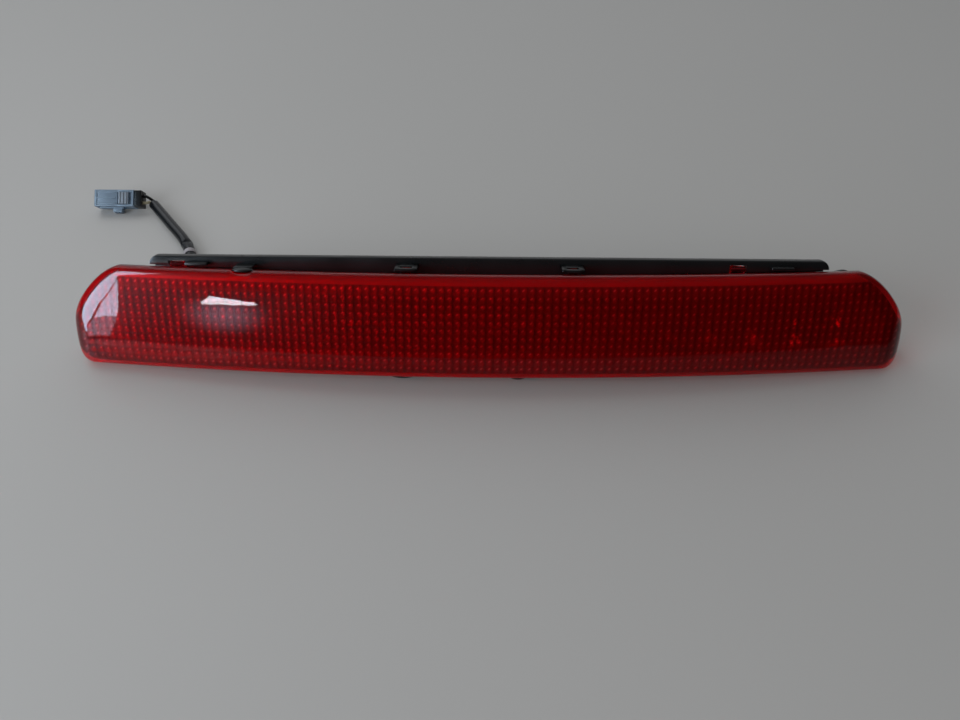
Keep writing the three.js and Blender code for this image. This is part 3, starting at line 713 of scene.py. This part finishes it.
def add_floor(material):
    corners = [(-FLOOR, -FLOOR, 0), (FLOOR, -FLOOR, 0), (FLOOR, FLOOR, 0), (-FLOOR, FLOOR, 0)]
    mesh = bpy.data.meshes.new("floor")
    mesh.from_pydata(corners, [], [(0, 1, 2, 3)])
    floor = bpy.data.objects.new("floor", mesh)
    bpy.context.scene.collection.objects.link(floor)
    floor.data.materials.append(material)


# ---------------------------------------------------------------- lens
def lens_stations():
    """Stations of the inner optics, finer where the ends roll."""
    half = LENS_HALF - LENS_WALL
    optic = PILLOW_PITCH * PILLOW_COLUMNS / 2
    count = PILLOW_COLUMNS * PILLOW_STEPS
    xs = spread(-optic, optic, count + 1)
    first = math.asin((optic * LENS_HALF / half - (LENS_HALF - END_ROLL)) / END_ROLL)
    tail = []
    for i in range(1, 11):
        turn = first + (math.pi / 2 - first) * i / 10
        tail.append((LENS_HALF - END_ROLL + END_ROLL * math.sin(turn)) * half / LENS_HALF)
    return [-x for x in reversed(tail)] + xs + tail


def face_depth(across, round_depth, squash):
    """How far the face falls back at a height of `across`, from -1 to 1."""
    power = abs(across) ** FACE_POWER
    edge = 1 - (max(0.0, 1 - power)) ** (1 / FACE_POWER)
    return round_depth * edge + CROWN * squash * across * across


def face_heights(count):
    """Heights from -1 to 1 across the face, close together in the rounded edges."""
    return [math.copysign(abs(math.cos(t)) ** (2 / FACE_POWER), -math.cos(t))
            for t in spread(0, math.pi, count)]


def notch_dip(x, across):
    """How far the top edge dips at the pry notch."""
    into = (x - NOTCH_X) / NOTCH_HALF
    if abs(into) >= 1 or across < 0.8:
        return 0.0
    return NOTCH_DEPTH * math.sqrt(1 - into * into) * smooth(across, 0.8, 0.97)


def outer_section(x):
    full = abs(x)
    low, high = lower_edge(full), upper_edge(full)
    squash = 1 - 0.8 * end_roll(full) / END_ROLL
    front = bow(x) + end_roll(full) - FACE_LEAD
    middle, half = (low + high) / 2, (high - low) / 2
    rear_high = high - rear_drop(full)
    points = [(joint_y(x, low), low)]
    for across in face_heights(41):
        z = middle + across * half
        points.append((front + face_depth(across, EDGE_ROUND * squash, squash),
                       z - notch_dip(x, across)))
    rim = points[-1]
    rear = (joint_y(x, rear_high), rear_high)
    points.append(((rim[0] + rear[0]) / 2, (rim[1] + rear[1]) / 2 + 0.05))
    points.append(rear)
    return [(x, y, z) for y, z in points]


def pillow(x, z, low, high):
    """Height of the inner pillow optics at a point of the face."""
    u = (x / PILLOW_PITCH + 0.5) % 1.0 * 2 - 1
    v = ((z - PILLOW_LOW) / PILLOW_PITCH) % 1.0 * 2 - 1
    inside = PILLOW_LOW <= z <= PILLOW_LOW + PILLOW_ROWS * PILLOW_PITCH
    edge = smooth(z, low + 0.4, low + 1.6) * (1 - smooth(z, high - 2.2, high - 1.0))
    end = 1 - smooth(abs(x), LENS_HALF - 8.5, LENS_HALF - 6.6)
    return PILLOW_DEPTH * (1 - u * u) * (1 - v * v) * edge * end if inside else 0.0


def inner_section(x):
    full = abs(x) * LENS_HALF / (LENS_HALF - LENS_WALL)
    low, high = lower_edge(full) + LENS_WALL, upper_edge(full) - LENS_WALL
    squash = 1 - 0.8 * end_roll(full) / END_ROLL
    front = bow(x) + end_roll(full) - FACE_LEAD + LENS_WALL
    middle, half = (low + high) / 2, (high - low) / 2
    rear_high = high - rear_drop(full)
    rows = PILLOW_ROWS * PILLOW_STEPS
    grid = [PILLOW_LOW + PILLOW_PITCH * k / PILLOW_STEPS for k in range(rows + 1)]
    edge = 0.012
    lowest, highest = low + 5 * edge, high - 5 * edge
    kept = [min(max(z, lowest + edge * k), highest - edge * (rows - k)) for k, z in enumerate(grid)]
    shares = (0, 0.03, 0.12, 0.3, 0.6)
    levels = [low + (kept[0] - low) * share for share in shares]
    levels += kept
    levels += [high - (high - kept[-1]) * share for share in reversed(shares)]
    points = [(joint_y(x, low), low)]
    for z in levels:
        across = max(-1.0, min(1.0, (z - middle) / half))
        y = front + face_depth(across, 3.0 * squash, squash) + pillow(x, z, low, high)
        points.append((y, z))
    points.append((joint_y(x, rear_high), rear_high))
    return [(x, y, z) for y, z in points]


def add_lens(materials):
    build = Build()
    xs = lens_stations()
    stretch = LENS_HALF / (LENS_HALF - LENS_WALL)
    outer = [outer_section(x * stretch)[::-1] for x in xs]
    inner = [inner_section(x)[::-1] for x in xs]
    dish(build, outer, inner)
    for i, face in enumerate(build.faces):
        x, y, z = [sum(build.verts[k][axis] for k in face) / len(face) for axis in range(3)]
        if build.tags[i] == 0 and y > bow(x) + end_roll(x) + SKIRT_START:
            build.tags[i] = 2
    for x in LENS_TABS:
        half = TAB_WIDTH / 2
        build.box((x - half, LIP_FRONT - 0.6, 48.2), (x + half, LIP_FRONT + 3.6, TAB_TOP), 0.7)
    for x in (-LOOP_X, LOOP_X):
        build.box((x - 2.2, 9.4, 49.0), (x + 2.2, 11.4, LENS_HEIGHT + 1.4), 0.5)
    lens = add_piece(build, "outer_lens", materials["lens"], sharp=40)
    lens.data.materials.append(materials["optics"])
    lens.data.materials.append(materials["skirt"])


# ---------------------------------------------------------------- seal and housing
def joint_edges(x, inset):
    """Heights of the lower and upper edge of the joint, set in from the lens's outline."""
    full = min(LENS_HALF, abs(x) * LENS_HALF / (LENS_HALF - inset))
    return lower_edge(full) + inset, upper_edge(full) - rear_drop(full) - inset


def end_stations(half, straight=180.0, count=25, tail=16):
    """Even stations along the straight, then ones that close in on each end."""
    body = spread(-straight, straight, count)
    ends = [straight + (half - straight) * math.sin(math.pi / 2 * i / tail)
            for i in range(1, tail + 1)]
    return [-x for x in reversed(ends)] + body + ends


def add_seal(materials):
    """A square-section ring that follows the joint between lens and tray."""
    build = Build()
    edges = [(x, *joint_edges(x, SEAL_INSET)) for x in end_stations(LENS_HALF - SEAL_INSET)]
    path = [(x, low) for x, low, _ in edges] + [(x, high) for x, _, high in reversed(edges)]
    rings = []
    for i, (x, z) in enumerate(path):
        before, after = path[i - 1], path[(i + 1) % len(path)]
        along = Vector((after[0] - before[0], 0, after[1] - before[1]))
        inward = Vector((-along.z, 0, along.x)).normalized() if along.length > 1e-6 else Vector((0, 0, 1))
        ring = []
        for depth, side in ((0, 0), (0, 2), (1, 2), (1, 0)):
            p = Vector((x, joint_y(x, z) + GAP + depth * SEAL_THICK, z)) + inward * side
            ring.append(tuple(p))
        rings.append(ring)
    build.rings(rings, closed=True)
    add_piece(build, "lens_seal", materials["rubber"])


def tray_back(x):
    end = LENS_HALF - SEAL_INSET
    along = max(0.0, (abs(x) - BACK_HALF) / (end - BACK_HALF))
    end_back = joint_y(end, ROW_Z) + END_BACK_DEPTH
    return BACK_Y + (end_back - BACK_Y) * min(1.0, along)


def tray_section(x, wall):
    """Open section from the lower front edge round the back to the upper front edge."""
    low, high = joint_edges(x, SEAL_INSET + wall)
    back = tray_back(x * LENS_HALF / (LENS_HALF - wall)) - wall
    lift = wall * 1.1 / math.cos(LEAN)
    knee = min(bench_y(low - lift), back - 1)
    heel = max(bench_z(back) + lift, low + 0.2)
    radius = max(0.6, 2.6 - wall)
    points = [(joint_y(x, low) + TRAY_FRONT, low), (knee - 2, low), (knee, low + 0.05)]
    slope = Vector((back - knee, heel - low)).normalized()
    turn_in = Vector((back, heel)) - slope * radius
    for i in range(5):
        t = i / 4
        a = turn_in.lerp(Vector((back, heel)), t)
        b = Vector((back, heel)).lerp(Vector((back, heel + radius)), t)
        points.append(tuple(a.lerp(b, t)))
    points += arc(back - radius, high - radius, radius, 0, 90, 4)
    points.append((joint_y(x, high) + TRAY_FRONT, high))
    return [(x, y, z) for y, z in points]


def add_tray(build):
    outer_half = LENS_HALF - SEAL_INSET
    inner_half = outer_half - WALL
    xs = end_stations(outer_half)
    outer = [tray_section(x, 0) for x in xs]
    inner = [tray_section(x * inner_half / outer_half, WALL) for x in xs]
    dish(build, [row[::-1] for row in outer], [row[::-1] for row in inner])


def skirt_top(x, y):
    return LENS_HEIGHT - SKIRT_FALL * (y - bow(x) - EDGE_ROUND)


def lip_low(x):
    half = TAB_WIDTH / 2 + 0.6
    if any(abs(x - tab) < half for tab in LENS_TABS):
        return TAB_TOP + 0.6
    if bow(x) < LIP_FOOT_BOW:
        return LIP_FOOT
    return skirt_top(x, LIP_FRONT) + 0.4


def lip_high(x):
    return LIP_TOP - corner_rise(x, LIP_CORNER, LIP_CORNER, LIP_HALF)


def add_lip(build):
    """The straight lip, with a small radius along its top edges and a notch at each lens tab."""
    xs = spread(-LIP_HALF + LIP_CORNER, LIP_HALF - LIP_CORNER, 60)
    for i in range(1, 9):
        reach = LIP_CORNER * math.sin(math.pi / 2 * i / 8) * 0.998
        xs += [LIP_HALF - LIP_CORNER + reach, -(LIP_HALF - LIP_CORNER + reach)]
    for tab in LENS_TABS:
        half = TAB_WIDTH / 2 + 0.6
        xs += [tab - half - 0.01, tab - half + 0.01, tab + half - 0.01, tab + half + 0.01]
    back = LIP_FRONT + LIP_THICK

    def section(x):
        low, high = lip_low(x), lip_high(x)
        edge = min(LIP_EDGE, (high - low) / 3)
        return [(back, low), *arc(back - edge, high - edge, edge, 0, 90, 3),
                *arc(LIP_FRONT + edge, high - edge, edge, 90, 180, 3), (LIP_FRONT, low)]

    build.loft(sorted(xs), section)


def add_deck(build):
    half = LIP_HALF - 0.5
    build.box((-half, LIP_FRONT + LIP_THICK - 0.6, DECK_LOW), (half, BACK_Y, DECK_TOP), 0.6)
    build.box((-half, BACK_Y - WALL, RISER_LOW), (half, BACK_Y, DECK_TOP - 0.4), 0.6)
    for i in range(7):
        x = (i - 3) * 50.0
        build.box((x - 1, 30.5, RIB_LOW), (x + 1, BACK_Y - 1, DECK_LOW + 0.5), 0.3)


def add_clips(build):
    low = LENS_HEIGHT + GAP
    back, wide = LIP_FRONT + 1, 5.5
    for x in (-LOOP_X, LOOP_X):
        start = bow(x) + EDGE_ROUND
        for x0, x1, y0, y1 in ((-wide, -2.8, start, back), (2.8, wide, start, back),
                               (-wide, wide, start, 8.8), (-wide, wide, 12.0, back)):
            build.box((x + x0, y0, low), (x + x1, y1, low + 1.5), 0.35)
    for x in (-HOOK_X, HOOK_X):
        build.box((x - wide, LIP_FRONT - 3.5, low), (x + wide, back, low + 1.6), 0.4)


def add_tongue(build):
    """The tongue over the lens whose rounded tip fills the pry notch."""
    half = NOTCH_HALF - 1
    low = LENS_HEIGHT + GAP
    start = bow(NOTCH_X) + 4
    build.box((NOTCH_X - half, start, low), (NOTCH_X + half, LIP_FRONT + 1, low + 0.7), 0.3)
    rings = []
    for i in range(1, 12):
        lean = math.pi * i / 12
        ring = []
        for k in range(24):
            turn = 2 * math.pi * k / 24
            ring.append((
                NOTCH_X + (NOTCH_HALF - GAP) * math.cos(lean),
                start + (3.2 - GAP) * math.sin(lean) * math.cos(turn),
                NOTCH_Z + (NOTCH_DEPTH - GAP) * math.sin(lean) * math.sin(turn)))
        rings.append(ring)
    build.rings(rings)


def add_lower_hooks(build):
    for x0, x1 in LOWER_HOOKS:
        def section(x, x0=x0, x1=x1):
            across = (x - x0) / (x1 - x0)
            low = 1.9 - 5.4 * math.sqrt(max(0.01, math.sin(math.pi * across)))
            front = joint_y(x, 0) + TRAY_FRONT + 0.2
            return [(front + 3, low + 0.5), (front + 3, 4), (front, 4), (front, low + 0.4),
                    (front + 0.4, low), (front + 2.5, low)]
        build.loft(spread(x0, x1, 25), section)


def add_corner_fin(build):
    x0, x1 = CORNER_FIN

    def section(x):
        rise = math.sin(math.pi * (x - x0) / (x1 - x0))
        high = upper_edge(x) - rear_drop(x) - SEAL_INSET - 0.3 + 3.2 * rise
        low = upper_edge(x) - FIN_DEPTH
        front = joint_y(x, high) + TRAY_FRONT
        return [(front + 2.6, low), (front + 2.6, high - 0.5), (front + 2.1, high),
                (front + 0.5, high), (front, high - 0.5), (front, low)]

    build.loft(spread(x0, x1, 25), section)


def add_bosses(build):
    for x in (-STUD_X, STUD_X):
        build.turned([(2.9, 44.2), (9.0, 44.2), (9.0, 47.6), (8.6, 48.0), (2.9, 48.0)], x, STUD_Z, 48)
    for x in (-60.0, 20.0, 135.0):
        build.turned([(0.2, 34.0), (3.0, 34.0), (3.0, 43.8), (0.2, 43.8)], x, ROW_Z, 24)


def add_housing(materials):
    build = Build()
    add_tray(build)
    add_lip(build)
    add_deck(build)
    add_clips(build)
    add_tongue(build)
    add_lower_hooks(build)
    add_corner_fin(build)
    add_bosses(build)
    add_piece(build, "housing", materials["black"])


# ---------------------------------------------------------------- reflector, board and LEDs
def cell_centres():
    return [(i - (CELLS - 1) / 2) * CELL_PITCH for i in range(CELLS)]


def add_reflector(materials):
    """Metallised moulding: a rim that follows the lens and a deep rounded cell for each LED."""
    build = Build()
    steps = 14
    for centre in cell_centres():
        rings = []
        for i in range(steps + 1):
            depth = i / steps
            grow = math.sqrt(depth) if depth > 0 else 0.0
            ring = []
            for px, pz, turn in cell_outline():
                half_w = 3.4 + (CELL_PITCH / 2 - 3.4) * grow
                half_h = 3.4 + (CELL_TALL - 3.4) * grow
                x = centre + px * half_w
                front = bow(x) + RIM_FRONT + RIM_THICK
                ring.append((x, CELL_BACK + (front - CELL_BACK) * depth, ROW_Z + pz * half_h))
            rings.append(ring)
        outer = [[(x, y + 0.9, z) for x, y, z in ring] for ring in rings]
        build.rings(rings + outer[::-1], closed=True)
    reflector = build.object("reflector_cells", sharp=50)
    finish_piece(reflector, materials["silver"], nodes=("reflector",))
    rim = Build()
    add_rim(rim)
    finish_piece(rim.object("reflector_rim", sharp=50), materials["dull"])


def cell_outline(count=32):
    """A rounded square of unit half size, as (x, z, turn), with a superellipse for its corners."""
    points = []
    for i in range(count):
        turn = 2 * math.pi * i / count
        c, s = math.cos(turn), math.sin(turn)
        points.append((math.copysign(abs(c) ** 0.35, c), math.copysign(abs(s) ** 0.35, s), turn))
    return points


def rim_loop(half, low_at, high_at, back):
    """A closed loop behind the lens between a lower and an upper edge."""
    xs = end_stations(half, half - 25, 33)
    low = [(x, bow(x) + RIM_FRONT + back, low_at(x)) for x in xs]
    high = [(x, bow(x) + RIM_FRONT + back, high_at(x)) for x in reversed(xs)]
    return low + high


def add_rim(build):
    """Flat metallised rim between the cells and the edge of the lens."""
    middle_half = CELLS * CELL_PITCH / 2 + 0.3

    def turn_in(x):
        return corner_rise(x, RIM_CORNER, RIM_CORNER, middle_half)

    def outer(back):
        return rim_loop(RIM_HALF, lambda x: lower_edge(x * RIM_STRETCH) + RIM_INSET,
                        lambda x: upper_edge(x * RIM_STRETCH) - RIM_INSET - 1.0, back)

    def inner(back):
        return rim_loop(middle_half, lambda x: ROW_Z - CELL_TALL + turn_in(x),
                        lambda x: ROW_Z + CELL_TALL - turn_in(x), back)

    build.rings([outer(0), outer(RIM_THICK), inner(RIM_THICK), inner(0)], closed=True)


def add_leds(materials):
    base = BOARD_FRONT - GAP
    tip = base - LED_LENGTH
    for i, x in enumerate(cell_centres()):
        build = Build()
        dome = arc(0, tip + LED_RADIUS, LED_RADIUS, -90, 0, 8)[1:]
        build.turned([(0.05, tip), *dome, (LED_RADIUS, base - 1.2), (2.9, base - 1.1),
                      (2.9, base - 0.1), (2.8, base), (0.05, base)], x, ROW_Z, 24)
        add_piece(build, f"led_{i + 1:02d}", materials["led"], sharp=50)


def dress_nodes(materials):
    """Finishes for the CAD nodes whose own shape stays."""
    kept = {
        "circuit_board": "board", "diode": "epoxy",
        "inner_wire_red": "wire_red", "inner_wire_black": "wire_black",
        "connector_terminal_1": "brass", "connector_terminal_2": "brass",
    }
    for i in range(1, 5):
        kept[f"resistor_{i}"] = "tan"
    for side in SCREW_X:
        kept[f"board_screw_{side}"] = "steel"
    for node, key in kept.items():
        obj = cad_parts[node]
        obj.data.materials.clear()
        obj.data.materials.append(materials[key])


# ---------------------------------------------------------------- fittings on the back
def ridges(start, end, pitch, outer, inner):
    """Profile of rounded ridges between two places along an axis, as (radius, y)."""
    profile = []
    count = int((end - start) / pitch)
    for i in range(count):
        y = start + i * pitch
        profile += [(inner, y), (inner, y + 0.2 * pitch), (outer, y + 0.45 * pitch),
                    (outer, y + 0.6 * pitch), (inner, y + 0.85 * pitch)]
    return profile


def add_fittings(materials):
    inside = BACK_Y - WALL - GAP
    outside = BACK_Y + GAP
    for side, sign in (("left", -1), ("right", 1)):
        x = sign * STUD_X
        stud = Build()
        thread = ridges(STUD_SEAT + 3.2, STUD_END - 1.4, STUD_PITCH, STUD_RADIUS, STUD_RADIUS - 0.45)
        stud.turned([(0.05, inside - 2), (4.4, inside - 2), (4.6, inside - 1.8), (4.6, inside - 0.2),
                     (4.4, inside), (STUD_RADIUS, inside), (STUD_RADIUS, STUD_SEAT + 3)] + thread
                    + [(STUD_RADIUS - 0.45, STUD_END - 1.2), (STUD_RADIUS - 0.8, STUD_END),
                       (0.05, STUD_END)], x, STUD_Z, 40)
        add_piece(stud, f"mounting_stud_{side}", materials["steel"])
        add_washer(materials, side, x)
    vent = Build()
    vent.turned([(0.05, 39), (1.9, 39), (2.1, 39.4), (2.1, outside), (4.3, outside), (4.6, outside + 0.4),
                 (4.6, outside + 2.2), (4.45, outside + 2.7), (3.6, outside + 3.7),
                 (3.2, outside + 3.9), (1.4, outside + 3.9), (1.2, outside + 3.5), (0.05, outside + 3.5)],
                *VENT, 48)
    add_piece(vent, "vent_cap", materials["rubber"])
    grommet = Build()
    grommet.turned([(0.05, inside - 2), (6.5, inside - 2), (6.8, inside - 1.7), (6.8, inside - 0.3),
                    (6.5, inside), (5.2, inside), (5.2, outside), (7.1, outside), (7.4, outside + 0.4),
                    (7.4, outside + 1.6), (7.1, outside + 2), (5, outside + 2.6), (4.8, outside + 4),
                    (4.35, outside + 4.2), (4.35, outside + 4.9), (4.6, outside + 5.1),
                    (4.5, outside + 6.2), (4.1, outside + 6.4), (4.1, outside + 7.1),
                    (4.3, outside + 7.3), (4.1, outside + 8.6), (3.7, NOSE_END - 0.2),
                    (3.4, NOSE_END), (0.05, NOSE_END)], *CABLE_EXIT, 48)
    add_piece(grommet, "cable_grommet", materials["rubber"])


def add_washer(materials, side, x):
    """A soft foam ring with rounded edges round a stud."""
    build = Build()
    low, high = STUD_SEAT + GAP, STUD_SEAT + GAP + 2.5
    hole, edge, soft = STUD_RADIUS + GAP, 7.0, 0.5
    profile = [(hole, low), (edge - soft, low), (edge, low + soft), (edge, high - soft),
               (edge - soft, high), (hole, high)]
    sides = 48
    rings = []
    for i in range(sides):
        turn = 2 * math.pi * i / sides
        rings.append([(x + r * math.cos(turn), y, STUD_Z + r * math.sin(turn)) for r, y in profile])
    build.rings(rings, closed=True)
    add_piece(build, f"stud_washer_{side}", materials["foam"])


# ---------------------------------------------------------------- connector
def on_connector(point):
    """Connector frame, as it lies rolled over on its latch, to the bench."""
    x, y, z = point
    cos, sin = math.cos(CONNECTOR_ROLL), math.sin(CONNECTOR_ROLL)
    x0, y0, lift = CONNECTOR_AT
    return on_bench((x0 + x, y0 + y * cos - z * sin, lift + y * sin + z * cos))


def tunnel_walls(build, x0, x1, low, high, half):
    """Boxes that leave a square way through for each of the two terminals."""
    for y0, y1 in ((-half, -3.2), (-1.0, 1.0), (3.2, half)):
        build.box((x0, y0, low), (x1, y1, high), 0.15)
    build.box((x0 + 0.1, -3.4, low), (x1 - 0.1, 3.4, 2.9), 0.1)
    build.box((x0 + 0.1, -3.4, 5.1), (x1 - 0.1, 3.4, high), 0.1)


def add_connector_housing(materials):
    """Floor, tunnel walls, lock room, retainer room and the long ribs of the top."""
    build = Build()
    tunnel_walls(build, -14.5, 9.9, 1.2, 6.5, 3.8)
    build.box((-14.5, -5.2, 0), (9.9, 5.2, 1.6), 0.45)
    build.box((-14.5, 3.6, 0.4), (9.9, 5.2, 7.6), 0.45)
    build.box((-14.5, -5.2, 0.4), (-12.6, -3.6, 7.6), 0.3)
    build.box((4.0, -5.2, 0.4), (9.9, -3.6, 7.6), 0.3)
    build.box((-14.5, -5.2, 6.4), (0.0, 5.2, 8), 0.45)
    build.box((8.5, -5.2, 6.4), (9.9, 5.2, 8), 0.35)
    for y0, y1 in ((-5.2, -3.9), (3.9, 5.2)):
        build.box((-0.5, y0, 6.3), (9.0, y1, 8), 0.35)
    build.box((-13.5, 4.7, 2.6), (0, 6.0, 5), 0.3)
    for y in (-3.4, 0.0, 3.4):
        build.box((-13.2, y - 0.45, 7.8), (-1.0, y + 0.45, 8.3), 0.2)
    build.box((-13.6, -4.6, 7.8), (-12.6, 4.6, 8.3), 0.2)
    return add_piece(build, "connector_housing", materials["grey"],
                     place=on_connector)


def add_connector_cap(materials):
    build = Build()
    tunnel_walls(build, 10.2, 14.5, 1.6, 6.6, 4.6)
    build.box((10.2, -5.0, 0.2), (14.5, 5.0, 1.8), 0.35)
    build.box((10.2, -5.0, 6.4), (14.5, 5.0, 7.8), 0.35)
    for y0, y1 in ((-5.0, -4.2), (4.2, 5.0)):
        build.box((10.2, y0, 0.6), (14.5, y1, 7.4), 0.3)
    return add_piece(build, "connector_cap", materials["black"],
                     place=on_connector)


def add_connector_lock(materials):
    """Springy arm with a thumb pad that has three grip ridges."""
    build = Build()
    build.box((-12, -5.9, 2), (3, -4.9, 6), 0.25)
    build.box((-3.6, -8.2, 2.4), (2.1, -5.7, 5.8), 0.35)
    for i in range(3):
        x = -2.9 + i * 1.8
        build.box((x, -8.6, 2.5), (x + 0.9, -7.9, 5.7), 0.25)
    return add_piece(build, "connector_lock", materials["grey"], "lock_arm",
                     place=on_connector)


def add_connector_retainer(materials):
    build = Build()
    build.box((0.4, -3.6, 6.6), (6.6, 3.6, 8.0), 0.2)
    for x in (1.4, 3.4, 5.4):
        build.box((x - 0.4, -3.6, 6.8), (x + 0.4, 3.6, 8.4), 0.18)
    return add_piece(build, "connector_retainer", materials["pale"], "retainer",
                     place=on_connector)


def add_plug_wires(materials):
    """The two short wires between the end of the sleeve and the connector."""
    pieces = []
    for number, side, key in ((1, -1, "wire_pale"), (2, 1, "wire_black")):
        y = side * TERMINAL_SPACING
        route = [on_bench((-211.1 + side * 0.9, 150.1 + side * 0.75, 3.6)),
                 on_bench((-212.2 + side * 0.6, 150.6 + side * 1.1, 4.3)),
                 on_connector((16.4, y * 0.9, 3.4)), on_connector((15.1, y, 4)),
                 on_connector((8.5, y, 4))]
        path, _ = resample([Vector(p) * 1000 for p in route], 40)
        build = Build()
        build.rings(tube_rings(path, lambda share, turn: (WIRE_RADIUS, WIRE_RADIUS, 0.0), 16))
        pieces.append(add_piece(build, f"plug_wire_{number}", materials[key], place=in_metres))
    return pieces


def add_connector(materials):
    return [add_connector_housing(materials), add_connector_cap(materials),
            add_connector_lock(materials), add_connector_retainer(materials),
            *add_plug_wires(materials)]


# ---------------------------------------------------------------- lead
def nose(rear, drop=0.0, left=0.0):
    """A point straight behind the cable exit, in bench millimetres."""
    y, z = rear, CABLE_EXIT[1] - drop
    return (
        CABLE_EXIT[0] - left,
        y * math.cos(LEAN) + z * math.sin(LEAN),
        -y * math.sin(LEAN) + z * math.cos(LEAN) + REST_LIFT,
    )


SLEEVE_ROUTE = [
    nose(NOSE_END + GAP),
    nose(NOSE_END + 5),
    nose(NOSE_END + 10, 0.1, 0.3),
    (-168.9, 77.9, 7.9),
    (-169.9, 82.6, 5.7),
    (-171.1, 87.5, 4.1),
    (-172.6, 93.0, SLEEVE_LIE),
    (-174.2, 98.4, SLEEVE_LIE),
    (-176.2, 103.8, SLEEVE_LIE),
    (-178.7, 108.9, SLEEVE_LIE),
    (-181.8, 113.6, SLEEVE_LIE),
    (-185.2, 118.2, SLEEVE_LIE),
    (-188.9, 122.7, SLEEVE_LIE),
    (-192.7, 127.3, SLEEVE_LIE),
    (-196.5, 132.0, SLEEVE_LIE),
    (-200.3, 136.7, SLEEVE_LIE),
    (-204.1, 141.4, SLEEVE_LIE),
    (-207.9, 146.1, SLEEVE_LIE),
    (-209.9, 148.5, SLEEVE_LIE),
]


def resample(points, count):
    """Evenly spaced points on a smooth curve through given ones."""
    points = [Vector(p) for p in points]
    dense = []
    for i in range(len(points) - 1):
        p0 = points[max(0, i - 1)]
        p1, p2 = points[i], points[i + 1]
        p3 = points[min(len(points) - 1, i + 2)]
        for k in range(12):
            t = k / 12
            dense.append(0.5 * ((2 * p1) + (p2 - p0) * t + (2 * p0 - 5 * p1 + 4 * p2 - p3) * t * t
                                + (3 * p1 - p0 - 3 * p2 + p3) * t ** 3))
    dense.append(points[-1])
    lengths = [0.0]
    for a, b in zip(dense, dense[1:]):
        lengths.append(lengths[-1] + (b - a).length)
    made, j = [], 0
    for target in spread(0, lengths[-1], count):
        while j < len(lengths) - 2 and lengths[j + 1] < target:
            j += 1
        share = (target - lengths[j]) / max(1e-9, lengths[j + 1] - lengths[j])
        made.append(dense[j].lerp(dense[j + 1], min(1.0, share)))
    return made, lengths[-1]


def tube_rings(path, radius_at, sides=24):
    """Rings of points round a path, kept untwisted with the side direction level."""
    rings = []
    for i, p in enumerate(path):
        along = (path[min(i + 1, len(path) - 1)] - path[max(i - 1, 0)]).normalized()
        side = along.cross(Vector((0, 0, 1))).normalized()
        up = side.cross(along).normalized()
        share = i / (len(path) - 1)
        ring = []
        for k in range(sides):
            turn = 2 * math.pi * k / sides
            wide, tall, drop = radius_at(share, turn)
            ring.append(tuple(p + side * wide * math.cos(turn) + up * (tall * math.sin(turn) - drop)))
        rings.append(ring)
    return rings


def add_sleeve(materials):
    path, length = resample(SLEEVE_ROUTE, 140)
    kink = 0.50

    def outside(share, turn):
        near = math.exp(-((share - kink) / 0.035) ** 2)
        crease = 0.25 * math.exp(-((share - kink) / 0.012) ** 2) * max(0.0, math.sin(turn))
        return SLEEVE_RADIUS * (1 + 0.10 * near), SLEEVE_RADIUS * (1 - 0.16 * near - crease), 0.0

    def inside(share, turn):
        wide, tall, drop = outside(share, turn)
        return wide - 0.55, tall - 0.55, drop

    outer = tube_rings(path, outside)
    inner = tube_rings(path, inside)
    build = Build()
    build.rings(outer + inner[::-1], closed=True)
    sleeve = add_piece(build, "cable_sleeve", materials["sleeve"], sharp=50, place=on_bench)
    return sleeve, [on_bench(p) for p in path], length / 1000


def add_sleeve_tie(materials, path):
    """A narrow pale tie round the sleeve, just behind the lip."""
    middle = round(TIE_SHARE * (len(path) - 1))
    short = [Vector(p) * 1000 for p in path[middle - 2:middle + 3]]
    outer = tube_rings(short, lambda share, turn: (
        SLEEVE_RADIUS + TIE_THICK * math.sin(math.pi * min(0.85, max(0.15, share))),) * 2 + (0.0,), 32)
    inner = tube_rings(short, lambda share, turn: (SLEEVE_RADIUS - 0.2,) * 2 + (0.0,), 32)
    build = Build()
    build.rings(outer + inner[::-1], closed=True)
    tie = build.object("sleeve_tie", place=in_metres)
    return finish_piece(tie, materials["tie"])


bpy.context.scene.view_settings.view_transform = "Standard"
materials = make_materials()
add_camera()
add_lights()
add_floor(materials["floor"])
sleeve, sleeve_path, sleeve_length = add_sleeve(materials)
tie = add_sleeve_tie(materials, sleeve_path)
dress_nodes(materials)
add_fittings(materials)
add_connector(materials)
add_lens(materials)
add_seal(materials)
add_housing(materials)
add_reflector(materials)
add_leds(materials)
